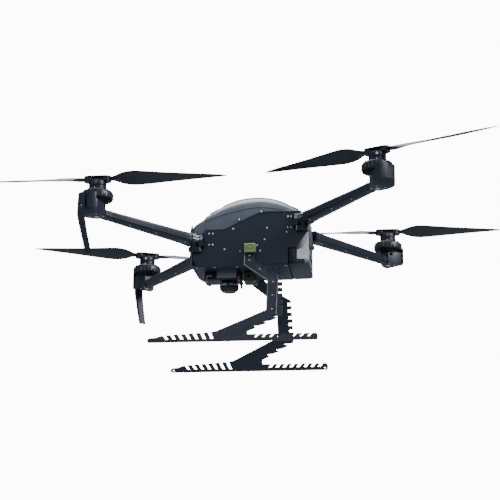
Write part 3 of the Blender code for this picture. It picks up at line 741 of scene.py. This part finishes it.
class DRONE_OT_blades(bpy.types.Operator):
    """Build the eight propeller blades with smooth twist and thickness"""

    bl_idname = "drone.blades"
    bl_label = "Propeller Blades"

    def execute(self, context):
        stations = context.scene.drone_sizes.blade_stations
        for corner in CORNERS:
            across, along = corner_signs(corner)
            spin = across * along
            for label in ("a", "b"):
                node = "prop_blade_%s_%s" % (label, corner)
                pivot = Vector(JOINTS["blade_fold_%s_%s" % (label, corner)]["pos_m"])
                shaft = shaft_of(corner)
                way = (pivot - shaft).to_2d()
                turn = math.atan2(way.y, way.x)
                shape = blade_shape(stations)
                if spin < 0:
                    shape.transform(Matrix.Diagonal((1.0, -1.0, 1.0, 1.0)))
                    bmesh.ops.reverse_faces(shape, faces=shape.faces[:])
                shape.transform(Matrix.Translation(shaft) @ Matrix.Rotation(turn, 4, "Z"))
                finished(node + "_finish", shape, "blade", BODY_OF[node], (node,))
        return {"FINISHED"}


def crown(y):
    """Height of the hood on the centre line, above the belly."""
    return 0.192 - 0.062 * abs((y - 0.010) / 0.135) ** 2.2


def crease(y):
    """Height of the line where the hood's top meets its side."""
    return min(0.154 - 0.020 * abs((y - 0.025) / 0.100) ** 1.6, crown(y) - 0.004)


def rim(y):
    """Height of the hood's lower edge."""
    return 0.084 + 0.0435 * min(max((y + 0.062) / 0.090, 0.0), 1.0)


def hood_section(y, half, lift=0.0):
    """One cross-section of the hood, from its +X edge over the top to its -X edge."""
    low = rim(y) + 0.0002
    shoulder = max(crease(y), low + 0.008)
    right = [(half, low), (half, low + 0.002), (half - 0.0006, (low + shoulder) / 2 - 0.002)]
    right.append((half * 0.955, shoulder - 0.004))
    for degrees in range(8, 90, 9):
        angle = math.radians(degrees)
        top = shoulder + (crown(y) + lift - shoulder) * math.sin(angle)
        right.append((half * 0.91 * math.cos(angle), top))
    left = [(-x, z) for x, z in reversed(right)]
    return [(x, y, BELLY + z) for x, z in right + [(0.0, crown(y) + lift)] + left]


def on_hood(x, y, lift):
    """A point over the hood's outer surface."""
    shoulder = max(crease(y), rim(y) + 0.008)
    share = min(abs(x) / (HOOD_HALF * 0.91), 1.0)
    top = shoulder + (crown(y) - shoulder) * math.sqrt(1.0 - share * share)
    return (x, y, BELLY + top + lift)


class DRONE_OT_hood(bpy.types.Operator):
    """Build the domed hood, its raised spine and its seam"""

    bl_idname = "drone.hood"
    bl_label = "Hood"

    def execute(self, context):
        rows = []
        for y, half in ((-0.1455, 0.061), (-0.137, 0.074), (-0.1145, HOOD_HALF)):
            section = hood_section(y, half)
            rows.append([(x, y2, z - 0.003 if z > BELLY + rim(y) + 0.003 else z) for x, y2, z in section])
        count = 26
        for i in range(count + 1):
            y = -0.112 + (0.135 + 0.112) * i / count
            rows.append(hood_section(y, HOOD_HALF))
        rows.append(hood_section(0.1455, 0.060))
        rows.append([(x, 0.1468, BELLY + 0.0897) for x, _, _ in rows[-1]])
        shape = bmesh.new()
        grid = [[shape.verts.new(point) for point in row] for row in rows]
        for row, following in zip(grid, grid[1:]):
            for i in range(len(row) - 1):
                shape.faces.new((row[i], following[i], following[i + 1], row[i + 1]))
        bmesh.ops.recalc_face_normals(shape, faces=shape.faces[:])
        mesh = bpy.data.meshes.new("hood_finish")
        shape.to_mesh(mesh)
        shape.free()
        obj = finished_mesh("hood_finish", mesh, "hood_grey", "airframe", ("hood",), 50.0)
        wall = obj.modifiers.new("wall", "SOLIDIFY")
        wall.thickness = 0.0016
        wall.offset = -1.0
        self.spine()
        return {"FINISHED"}

    def spine(self):
        """The raised band along the middle of the hood, and the dark seam round it."""
        for name, reach, lift, material in (
            ("hood_spine_seam", 0.0345, 0.0006, "dark_plastic"), ("hood_spine", 0.0330, 0.0018, "hood_grey"),
        ):
            rings = []
            count = 30
            for i in range(count + 1):
                share = i / count
                y = -0.100 + 0.226 * share
                ease = min(share, 1.0 - share) * 6.0
                half = reach * min(1.0, 0.35 + 0.65 * ease)
                height = lift * min(1.0, 0.2 + 2.0 * ease)
                ring = []
                for side in range(-6, 7):
                    ring.append(on_hood(half * side / 6, y, height))
                for side in range(6, -7, -1):
                    ring.append(on_hood(half * side / 6, y, -0.001))
                rings.append(ring)
            finished(name, loft_shape(rings), material, "airframe")


def both_sides(shapes):
    """A shape list with its mirror images across the centre plane, as one shape."""
    result = []
    for shape in shapes:
        image = shape.copy()
        image.transform(Matrix.Diagonal((-1.0, 1.0, 1.0, 1.0)))
        bmesh.ops.reverse_faces(image, faces=image.faces[:])
        result += [shape, image]
    return gathered(result)


# Place along Y and height above the belly of each screw on a side plate.
PLATE_SCREWS = (
    (-0.0399, 0.0938), (0.0443, 0.0941), (0.0381, 0.0650), (-0.0609, 0.0424),
    (-0.0216, 0.0367), (0.0275, 0.0365), (0.0191, 0.0501), (0.0941, 0.0832),
    (-0.0248, 0.1173), (-0.0996, 0.0830), (-0.0908, 0.0830), (-0.0996, 0.0550),
    (-0.0908, 0.0550), (0.0963, 0.1215), (0.1045, 0.1215), (0.0963, 0.0950),
    (0.1045, 0.0950),
)


class DRONE_OT_plate_details(bpy.types.Operator):
    """Add the screws, washers and embossed lines of the side plates"""

    bl_idname = "drone.plate_details"
    bl_label = "Side Plate Details"

    def execute(self, context):
        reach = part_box("side_plate_left")[1][0]
        points = []
        washers = []
        for y, height in PLATE_SCREWS:
            for side in (1, -1):
                points.append(((side * (reach + 0.0003), y, BELLY + height), (side, 0.0, 0.0)))
            spot = (reach - 0.0005, y, BELLY + height)
            washers.append(disc_shape(0.0041, spot, (reach + 0.0004, y, BELLY + height), 0.0002, 24))
        place_screws("plate_screws", "airframe", points, 1.15)
        finished("plate_washers", both_sides(washers), "dark_metal", "airframe")
        lines = [
            ((-0.120, 0.040), (-0.067, 0.059), (0.033, 0.094), (0.060, 0.098)),
            ((-0.052, 0.040), (-0.034, 0.046), (0.020, 0.066)),
        ]
        bars = [tube_shape([(reach, y, BELLY + z) for y, z in line], 0.0007, 8) for line in lines]
        finished("plate_lines", both_sides(bars), "carbon", "airframe")
        return {"FINISHED"}


class DRONE_OT_nose_details(bpy.types.Operator):
    """Add the nose's sensor windows, camera window and grille"""

    bl_idname = "drone.nose_details"
    bl_label = "Nose Details"

    def execute(self, context):
        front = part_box("nose_cover")[0][1]
        rims = []
        panes = []
        for x, height, radius in ((0.034, 0.070, 0.0105), (0.0, 0.075, 0.0130), (-0.034, 0.070, 0.0105)):
            spot = Vector((x, front + 0.002, BELLY + height))
            rims.append(disc_shape(radius + 0.0025, spot, spot + Vector((0, -0.0026, 0)), 0.0005, 40))
            panes.append(disc_shape(radius, spot, spot + Vector((0, -0.0030, 0)), 0.0008, 40))
        finished("sensor_rims", gathered(rims), "dark_metal", "airframe")
        finished("sensor_panes", gathered(panes), "lens_dark", "airframe")
        block_row(
            "nose_grille", 15, (-0.028, front + 0.0002, BELLY + 0.038), (0.004, 0.0, 0.0),
            (0.0018, 0.0012, 0.014), "rubber", "airframe",
        )
        spots = []
        for x in (-0.050, 0.050):
            for height in (0.034, 0.088):
                spots.append(((x, front + 0.0004, BELLY + height), (0.0, -1.0, 0.0)))
        place_screws("nose_screws", "airframe", spots)
        return {"FINISHED"}


class DRONE_OT_belly_details(bpy.types.Operator):
    """Add the belly's vent ribs and screws"""

    bl_idname = "drone.belly_details"
    bl_label = "Belly Details"

    def execute(self, context):
        for name, x in (("belly_ribs_left", 0.045), ("belly_ribs_right", -0.045)):
            block_row(
                name, 12, (x, -0.010, BELLY - 0.0002), (0.0, 0.006, 0.0), (0.034, 0.0024, 0.0010),
                "rubber", "airframe",
            )
        spots = []
        for y in (-0.130, -0.086, -0.030, 0.030, 0.090):
            for x in (-0.066, 0.066):
                spots.append(((x, y, BELLY + 0.0001), (0.0, 0.0, -1.0)))
        place_screws("belly_screws", "airframe", spots)
        return {"FINISHED"}


class DRONE_OT_payload_details(bpy.types.Operator):
    """Add the rubber dampers, contacts, knurl and clip details of the payload fittings"""

    bl_idname = "drone.payload_details"
    bl_label = "Payload Details"

    def execute(self, context):
        low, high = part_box("damper_bracket")
        port = JOINTS["lock_ring_twist"]["pos_m"]
        beads = []
        cores = []
        shelf = BELLY - 0.019
        for y in (high[1] - 0.006, low[1] + 0.008):
            for start, end, radius in (
                (-0.0045, -0.0012, 0.0036), (-0.0012, 0.0012, 0.0028), (0.0012, 0.0045, 0.0036),
            ):
                spot = (high[0] - 0.0020, y, shelf + start)
                beads.append(disc_shape(radius, spot, (spot[0], y, shelf + end), 0.0007, 28))
            spot = (high[0] - 0.0020, y, shelf - 0.0056)
            cores.append(disc_shape(0.0016, spot, (spot[0], y, shelf + 0.0056), 0.0003, 16))
        finished("damper_beads", both_sides(beads), "grommet_pink", "airframe")
        finished("damper_cores", both_sides(cores), "steel", "airframe")
        slit = box_shape(
            (0.0212, low[1] + 0.006, shelf + 0.0085), (0.0224, low[1] + 0.021, shelf + 0.0100), 0.0003
        )
        finished("bracket_slit", both_sides([slit]), "marker_white", "airframe")
        ring_low, ring_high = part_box("port_lock_ring")
        middle = (ring_low[2] + ring_high[2]) / 2
        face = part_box("payload_port")[0][2] + 0.0001
        block_ring(
            "ring_knurl", 40, 0.0237, (0.0012, 0.0017, 0.0044), (port[0], port[1], middle),
            "steel", "lock_ring",
        )
        block_ring(
            "port_contacts", 14, 0.0125, (0.0030, 0.0016, 0.0008), (port[0], port[1], face),
            "gold", "airframe",
        )
        dock_low, dock_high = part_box("payload_dock")
        spots = []
        for y in (dock_low[1] + 0.005, dock_high[1] - 0.005):
            for x in (-0.016, 0.016):
                spots.append(((x, y, dock_low[2] + 0.0001), (0.0, 0.0, -1.0)))
        place_screws("dock_screws", "airframe", spots, 0.9)
        ribs = []
        for height in (0.0035, 0.0070):
            near, far = dock_low[1] + 0.003, dock_high[1] - 0.003
            ribs.append(box_shape((0.0216, near, height), (0.0225, far, height + 0.0012)))
        finished("dock_ribs", both_sides(ribs), "dark_metal", "airframe")
        return {"FINISHED"}


class DRONE_OT_gear_details(bpy.types.Operator):
    """Add the landing legs' flanges, screws and skid pads, and the sockets' pins; the front flange is pale as a
    painted highlight on each leg's front edge
    """

    bl_idname = "drone.gear_details"
    bl_label = "Landing Gear Details"

    def execute(self, context):
        travel = Vector(JOINTS["leg_release_left"]["axis"]).normalized()
        outward = Vector((-travel.z, 0.0, travel.x))
        top = Vector((0.0855, 0.0, BELLY + 0.030))

        def spot(y, down, out):
            """A point on the left leg from its place along Y, down the lean and off its middle."""
            return top + travel * down + outward * out + Vector((0.0, y, 0.0))

        front = [(-0.0085, 0.006), (-0.0085, 0.0373), (0.0515, 0.0853), (0.0515, 0.1728), (-0.058, 0.2268)]
        rear = [(0.0155, 0.0245), (0.0530, 0.0600), (0.0745, 0.0740), (0.0750, 0.1860)]
        # The front flange is drawn pale in tail grey as a painted highlight along the leg's front edge; the rear
        # rib stays dark metal.
        highlight_flange = [tube_shape([spot(y, down, 0.0025) for y, down in front], 0.0011, 8)]
        rib = [tube_shape([spot(y, down, 0.0025) for y, down in rear], 0.0011, 8)]
        pads = [
            box_between([spot(y, down, out) for y in (-0.224, 0.169) for down in (0.2535, 0.2575)
                         for out in (0.0022, 0.0031)]),
        ]
        places = [(0.003, 0.010), (0.003, 0.024), (0.030, 0.052)]
        places += [(0.064, 0.0905), (0.064, 0.130), (0.064, 0.170)]
        for side, sign in (("left", 1), ("right", -1)):
            mirror = Matrix.Diagonal((sign, 1.0, 1.0, 1.0))
            for name, shapes, material in (
                ("leg_highlight_flange_", highlight_flange, "tail_grey"), ("leg_rib_", rib, "dark_metal"),
                ("skid_pad_", pads, "rubber"),
            ):
                shape = gathered([item.copy() for item in shapes])
                shape.transform(mirror)
                if sign < 0:
                    bmesh.ops.reverse_faces(shape, faces=shape.faces[:])
                finished(name + side, shape, material, "landing_leg_" + side)
            points = []
            for y, down in places:
                points.append((mirror @ spot(y, down, 0.0026), mirror @ outward))
            place_screws("leg_screws_" + side, "landing_leg_" + side, points)
        low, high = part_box("gear_socket_left")
        middle = (low[1] + high[1]) / 2
        face = high[0]
        height = high[2] - 0.009
        pins = [
            disc_shape(0.0030, (face - 0.001, middle, height), (face + 0.0012, middle, height), 0.0004),
            box_shape(
                (face - 0.001, low[1] + 0.003, low[2] + 0.0025),
                (face + 0.0004, high[1] - 0.003, low[2] + 0.0045), 0.0003,
            ),
        ]
        finished("socket_pins", both_sides(pins), "steel", "airframe")
        points = []
        for y in (low[1] + 0.005, high[1] - 0.005):
            for sign in (1, -1):
                points.append(((sign * (high[0] + 0.0001), y, high[2] - 0.005), (sign, 0.0, 0.0)))
        place_screws("socket_screws", "airframe", points, 0.8)
        return {"FINISHED"}


def box_between(corners):
    """A six-sided block from its eight corners, in the order of three nested pairs."""
    shape = bmesh.new()
    verts = [shape.verts.new(corner) for corner in corners]
    for face in ((0, 1, 3, 2), (4, 6, 7, 5), (0, 4, 5, 1), (2, 3, 7, 6), (0, 2, 6, 4), (1, 5, 7, 3)):
        shape.faces.new([verts[i] for i in face])
    bmesh.ops.recalc_face_normals(shape, faces=shape.faces[:])
    return shape


def arm_half(along):
    """Half the width and half the height of an arm at a distance from its root."""
    _, root, motor = arm_direction()
    length = (motor - root).length - MOUNT_REACH
    for start, end, first, last in (
        (0.0, 0.009, (0.021, 0.014), (0.020, 0.013)), (0.009, 0.045, (0.020, 0.013), (0.018, 0.012)),
        (0.045, length, (0.018, 0.012), (0.013, 0.0095)),
    ):
        if along <= end:
            share = (along - start) / (end - start)
            return [a + (b - a) * share for a, b in zip(first, last)]
    return [0.013, 0.0095]


def arm_band(start, end, grow):
    """A band round an arm, standing proud of it."""
    rings = []
    for along, more in ((start, 0.0), (start, grow), (end, grow), (end, 0.0)):
        half, tall = arm_half(along)
        slope = min(half, tall) * 0.45
        half += more - 0.0002
        tall += more - 0.0002
        ring = [(half, tall - slope), (half - slope, tall), (slope - half, tall), (-half, tall - slope)]
        ring += [(-half, slope - tall), (slope - half, -tall), (half - slope, -tall), (half, slope - tall)]
        rings.append([on_arm(along, aside, height) for aside, height in ring])
    return loft_shape(rings)


def at_corner(corner, point):
    """Move a point from the positive quarter to a corner."""
    across, along = corner_signs(corner)
    return Vector((point.x * across, point.y * along, point.z + arm_height(corner)))


class DRONE_OT_arm_details(bpy.types.Operator):
    """Add each arm's latch bars, bands, wiring cover, seams, lamp and screws"""

    bl_idname = "drone.arm_details"
    bl_label = "Arm Details"

    def execute(self, context):
        _, root, motor = arm_direction()
        reach = (motor - root).length
        for corner in CORNERS:
            body = "arm_" + corner
            bars = []
            for low in (-0.0040, 0.0030):
                bars.append(box_between([on_arm(along, aside, height) for along in (0.001, 0.020)
                                         for aside in (0.0195, 0.0226) for height in (low, low + 0.0040)]))
            self.place("latch_bars_", bars, corner, "steel", "steel")
            bands = [arm_band(0.0105, 0.0135, 0.0006), arm_band(reach - 0.034, reach - 0.030, 0.0008)]
            self.place("arm_bands_", bands, corner, "dark_metal", "dark_metal")
            cover = []
            for along in (0.050, 0.060, reach - 0.055, reach - 0.045):
                tall = arm_half(along)[1]
                edge = 0.0045 if 0.055 < along < reach - 0.050 else 0.0025
                over, under = 0.001 - tall, -0.0010 - tall
                ring = ((-edge, over), (-edge, under), (edge, under), (edge, over))
                cover.append([on_arm(along, aside, height) for aside, height in ring])
            self.place("arm_cover_", [loft_shape(cover)], corner, "dark_plastic", "dark_plastic")
            seams = []
            for sign in (1, -1):
                line = []
                for along in (0.016, 0.045, reach - 0.036):
                    line.append(on_arm(along, sign * arm_half(along)[0], 0.001))
                seams.append(tube_shape(line, 0.0007, 8))
            self.place("arm_seams_", seams, corner, "rubber", "dark_plastic")
            points = []
            for along in (0.032, 0.130, 0.215):
                tall = arm_half(along)[1]
                for aside in (-0.0075, 0.0075):
                    points.append((at_corner(corner, on_arm(along, aside, 0.0001 - tall)), (0.0, 0.0, -1.0)))
            for aside in (-0.012, 0.012):
                for along in (reach - 0.010, reach + 0.012):
                    points.append((at_corner(corner, on_arm(along, aside, MOUNT_FLOOR)), (0.0, 0.0, -1.0)))
            place_screws("arm_screws_" + corner, body, points, 0.9)
            lamp = [disc_shape(0.0060, on_arm(reach, 0, -0.0090), on_arm(reach, 0, -0.0112), 0.0007, 28)]
            self.place("arm_lamp_", lamp, corner, "lamp_clear", "dark_plastic")
            rim = [disc_shape(0.0076, on_arm(reach, 0, -0.0090), on_arm(reach, 0, -0.0106), 0.0003, 28)]
            self.place("arm_lamp_rim_", rim, corner, "dark_metal", "dark_metal")
            if corner.startswith("front"):
                self.antenna(corner, reach)
        return {"FINISHED"}

    def place(self, name, shapes, corner, material, slot):
        """Put shapes made in the positive quarter on a corner's arm."""
        shape = gathered(shapes)
        bmesh.ops.recalc_face_normals(shape, faces=shape.faces[:])
        finished(name + corner, in_corner(shape, corner), material, "arm_" + corner)

    def antenna(self, corner, reach):
        """The seam line and screws of an antenna leg."""
        lines = []
        for aside in (-0.0085, 0.0085):
            lines.append(tube_shape([
                on_arm(reach + 0.0530, aside * 0.8, 0.010), on_arm(reach + 0.0527, aside, -0.014),
                on_arm(reach + 0.0399, aside, -0.060), on_arm(reach + 0.0245, aside * 0.8, -0.108),
            ], 0.0005, 8))
        self.place("antenna_seams_", lines, corner, "dark_plastic", "antenna")
        way = at_corner(corner, on_arm(1.0, 0, 0)) - at_corner(corner, on_arm(0.0, 0, 0))
        points = []
        for aside in (-0.006, 0.006):
            points.append((at_corner(corner, on_arm(reach + 0.0530, aside, 0.004)), way))
        place_screws("antenna_screws_" + corner, "arm_" + corner, points, 0.9)


class DRONE_OT_motors(bpy.types.Operator):
    """Add each motor's windings, ribs and vents, and each hub's screws and turning mark"""

    bl_idname = "drone.motors"
    bl_label = "Motor Details"

    def execute(self, context):
        sizes = context.scene.drone_sizes
        for corner in CORNERS:
            shaft = shaft_of(corner)
            body = "rotor_" + corner
            for name, rider, count, radius, block, height, material, slot in (
                ("coils_", "arm_" + corner, sizes.coil_count, 0.0285, (0.0060, 0.0046, 0.0034), 0.0286,
                 "copper", "copper"),
                ("bell_ribs_", body, 24, 0.0371, (0.0014, 0.0024, 0.0120), 0.0385,
                 "dark_metal", "dark_metal"),
                ("bell_vents_", body, 12, 0.0265, (0.0095, 0.0030, 0.0008), 0.0514, "rubber", "dark_metal"),
            ):
                place = shaft + Vector((0, 0, height))
                block_ring(name + corner, count, radius, block, place, material, rider)
            points = []
            for label in ("a", "b"):
                pivot = Vector(JOINTS["blade_fold_%s_%s" % (label, corner)]["pos_m"])
                points.append(((pivot.x, pivot.y, shaft.z + 0.0879), (0.0, 0.0, 1.0)))
            place_screws("hub_screws_" + corner, body, points, 1.5)
            points = []
            for step in range(6):
                angle = math.tau * step / 6
                place = shaft + Vector((0.0315 * math.cos(angle), 0.0315 * math.sin(angle), 0.0514))
                points.append((place, (0.0, 0.0, 1.0)))
            place_screws("bell_screws_" + corner, body, points, 0.8)
            across, along = corner_signs(corner)
            dots = []
            for side in (1, -1):
                start = shaft + Vector((side * 0.0190, 0.0, 0.0690))
                dots.append(disc_shape(0.0032, start, start + Vector((side * 0.0024, 0.0, 0.0)), 0.0003, 24))
            colour = "marker_red" if across * along < 0 else "marker_white"
            finished("turning_mark_" + corner, gathered(dots), colour, body)
        return {"FINISHED"}


class DRONE_OT_battery_details(bpy.types.Operator):
    """Add the battery's pale panels, latch ribs, button, lamps and vents"""

    bl_idname = "drone.battery_details"
    bl_label = "Battery Details"

    def execute(self, context):
        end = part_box("battery_pack")[1][1]
        first = Vector((0.0744, 0.118, 0.0))
        last = Vector((0.056, end, 0.0))
        way = last - first
        off = Vector((way.y, -way.x, 0.0)).normalized()
        outline = [(0.02, 0.0150), (0.98, 0.0150), (0.98, 0.0860)]
        outline += [(0.72, 0.0600), (0.50, 0.0455), (0.02, 0.0370)]
        rings = []
        for out in (-0.0005, 0.0006):
            ring = []
            for share, height in outline:
                ring.append(first + way * share + off * out + Vector((0.0, 0.0, BELLY + height)))
            rings.append(ring)
        panels = [loft_shape(rings)]
        low, high = (-0.052, end - 0.001, BELLY + 0.016), (0.0, end + 0.0006, BELLY + 0.046)
        panels.append(box_shape(low, high, 0.0004))
        finished("battery_panels", both_sides(panels), "tail_grey", "battery")
        block_row(
            "battery_vents", 17, (-0.040, end + 0.0006, BELLY + 0.030), (0.005, 0.0, 0.0),
            (0.0022, 0.0012, 0.016), "rubber", "battery",
        )
        block_row(
            "battery_lamps", 4, (-0.018, end, BELLY + 0.074), (0.012, 0.0, 0.0),
            (0.006, 0.0012, 0.0022), "lamp_clear", "battery",
        )
        height = BELLY + 0.060
        button = disc_shape(0.0075, (0, end - 0.001, height), (0, end + 0.0012, height), 0.0005, 32)
        finished("battery_button", button, "dark_metal", "battery")
        for side, sign in (("left", 1), ("right", -1)):
            low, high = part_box("battery_latch_" + side)
            face = high[0] if sign > 0 else low[0]
            block_row(
                "latch_ribs_" + side, 6, (face, low[1] + 0.0022, (low[2] + high[2]) / 2), (0.0, 0.0018, 0.0),
                (0.0010, 0.0009, (high[2] - low[2]) * 0.78),
                "rubber", "battery_latch_" + side,
            )
        return {"FINISHED"}


class DRONE_OT_hood_details(bpy.types.Operator):
    """Add the hood's darker lower band, crease line, rear vents and screws"""

    bl_idname = "drone.hood_details"
    bl_label = "Hood Details"

    def execute(self, context):
        count = 24
        band = []
        line = []
        for i in range(count + 1):
            y = -0.110 + 0.240 * i / count
            low = BELLY + rim(y) + 0.0006
            top = low + 0.0100
            band.append([(0.0738, y, low), (0.0748, y, low), (0.0748, y, top), (0.0736, y, top + 0.0008)])
            line.append((HOOD_HALF * 0.955 + 0.0001, y, BELLY + max(crease(y), rim(y) + 0.0082) - 0.004))
        finished("hood_band", both_sides([loft_shape(band)]), "dark_plastic", "airframe")
        finished("hood_crease", both_sides([tube_shape(line, 0.0007, 8)]), "rubber", "airframe")
        slots = []
        for middle in (-0.016, 0.0, 0.016):
            rings = []
            for i in range(6):
                y = 0.100 + 0.003 * i
                ring = [on_hood(middle + x, y, 0.0024) for x in (-0.0055, 0.0, 0.0055)]
                ring += [on_hood(middle + x, y, -0.0005) for x in (0.0055, 0.0, -0.0055)]
                rings.append(ring)
            slots.append(loft_shape(rings))
        for thick, thin in ((-0.104, -0.078), (0.119, 0.098)):
            rings = []
            for i in range(9):
                share = i / 8
                y = thick + (thin - thick) * share
                lift = 0.0045 - 0.0040 * share
                ring = [on_hood(0.005 * side, y, lift) for side in range(-7, 8)]
                ring += [on_hood(0.005 * side, y, -0.0005) for side in range(7, -8, -1)]
                rings.append(ring)
            slots.append(loft_shape(rings))
        finished("hood_slots", gathered(slots), "rubber", "airframe")
        points = []
        for sign in (1, -1):
            points.append(((sign * HOOD_HALF, 0.0297, BELLY + 0.1375), (sign, 0.0, 0.0)))
        place_screws("hood_screws", "airframe", points, 1.15)
        return {"FINISHED"}


class DRONE_OT_stage(bpy.types.Operator):
    """Add the floor, lights, sky and camera"""

    bl_idname = "drone.stage"
    bl_label = "Stage"

    def execute(self, context):
        floor_shape = bmesh.new()
        bmesh.ops.create_grid(floor_shape, x_segments=1, y_segments=1, size=40.0)
        floor_shape.transform(Matrix.Translation((0, 0, -6.0)))
        mesh = bpy.data.meshes.new("studio_floor")
        floor_shape.to_mesh(mesh)
        floor_shape.free()
        floor = bpy.data.objects.new("studio_floor", mesh)
        context.scene.collection.objects.link(floor)
        make_finish(
            "pale_floor", (0.86, 0.87, 0.88), roughness=0.8, wear=0.0, dust=0.0, bump=0.02, grain=40.0
        )
        mesh.materials.append(coat_of("pale_floor"))
        self.lights(context)
        self.sky(context)
        self.camera(context)
        return {"FINISHED"}

    def lights(self, context):
        """A soft key from behind on the right, and a weak fill from below."""
        for name, place, size, power in (
            ("key_light", (1.5, 3.6, 2.6), 2.2, 190.0),
            ("top_light", (-1.2, -0.6, 4.0), 3.0, 170.0),
            ("fill_light", (3.5, -3.0, 0.3), 2.5, 9.0),
        ):
            data = bpy.data.lights.new(name, "AREA")
            data.energy = power
            data.size = size
            lamp = bpy.data.objects.new(name, data)
            context.scene.collection.objects.link(lamp)
            lamp.location = place
            lamp.rotation_mode = "QUATERNION"
            lamp.rotation_quaternion = (-Vector(place)).to_track_quat("-Z", "Y")

    def sky(self, context):
        """A plain pale sky that lights the drone softly."""
        world = bpy.data.worlds.new("pale_sky")
        world.use_nodes = True
        context.scene.world = world
        tree = world.node_tree
        seen = tree.nodes["Background"]
        seen.inputs["Color"].default_value = (1.0, 1.0, 1.0, 1.0)
        seen.inputs["Strength"].default_value = 12.0
        lit = tree.nodes.new("ShaderNodeBackground")
        lit.inputs["Color"].default_value = (0.72, 0.86, 1.0, 1.0)
        lit.inputs["Strength"].default_value = 0.42
        path = tree.nodes.new("ShaderNodeLightPath")
        mix = tree.nodes.new("ShaderNodeMixShader")
        link(tree, path.outputs["Is Camera Ray"], mix.inputs["Fac"])
        link(tree, lit.outputs[0], mix.inputs[1])
        link(tree, seen.outputs[0], mix.inputs[2])
        link(tree, mix.outputs[0], tree.nodes["World Output"].inputs["Surface"])

    def camera(self, context):
        """A long lens, low on the drone's left, looking up at it."""
        data = bpy.data.cameras.new("camera")
        data.sensor_width = 36.0
        data.lens = 117.3
        data.clip_start = 0.1
        data.clip_end = 100.0
        camera = bpy.data.objects.new("camera", data)
        context.scene.collection.objects.link(camera)
        camera.location = (3.9032, 0.4621, -1.0570)
        camera.rotation_mode = "QUATERNION"
        look = Vector((-0.9533, -0.1144, 0.2793))
        roll = Matrix.Rotation(math.radians(-0.35), 3, look)
        camera.rotation_quaternion = (roll @ look.to_track_quat("-Z", "Y").to_matrix()).to_quaternion()
        context.scene.camera = camera


# ---- panel and registration -------------------------------------------------------------------------


class DRONE_PT_panel(bpy.types.Panel):
    """The drone's builders and settings in the sidebar"""

    bl_idname = "DRONE_PT_panel"
    bl_label = "Folding Quadcopter"
    bl_space_type = "VIEW_3D"
    bl_region_type = "UI"
    bl_category = "Drone"

    def draw(self, context):
        for settings in (context.scene.drone_finish, context.scene.drone_sizes):
            box = self.layout.box()
            for name in settings.__annotations__:
                box.prop(settings, name)
        for operator in OPERATORS:
            self.layout.operator(operator.bl_idname)


OPERATORS = (
    DRONE_OT_soften_parts,
    DRONE_OT_blades,
    DRONE_OT_hood,
    DRONE_OT_hood_details,
    DRONE_OT_plate_details,
    DRONE_OT_nose_details,
    DRONE_OT_belly_details,
    DRONE_OT_payload_details,
    DRONE_OT_gear_details,
    DRONE_OT_arm_details,
    DRONE_OT_motors,
    DRONE_OT_battery_details,
    DRONE_OT_stage,
)
CLASSES = (DroneFinishSettings, DroneSizeSettings, *OPERATORS, DRONE_PT_panel)


def register():
    for cls in CLASSES:
        bpy.utils.register_class(cls)
    bpy.types.Scene.drone_finish = bpy.props.PointerProperty(type=DroneFinishSettings)
    bpy.types.Scene.drone_sizes = bpy.props.PointerProperty(type=DroneSizeSettings)


def unregister():
    del bpy.types.Scene.drone_sizes
    del bpy.types.Scene.drone_finish
    for cls in reversed(CLASSES):
        bpy.utils.unregister_class(cls)


def run_operator(cls):
    """Call an operator by its name."""
    group, name = cls.bl_idname.split(".")
    if getattr(getattr(bpy.ops, group), name)() != {"FINISHED"}:
        raise RuntimeError(cls.bl_label + " did not finish")


def main():
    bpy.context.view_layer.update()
    register()
    settings = bpy.context.scene
    build_finishes(settings.drone_finish, settings.drone_sizes.weave_size)
    for operator in OPERATORS:
        run_operator(operator)


if __name__ == "__main__":
    main()
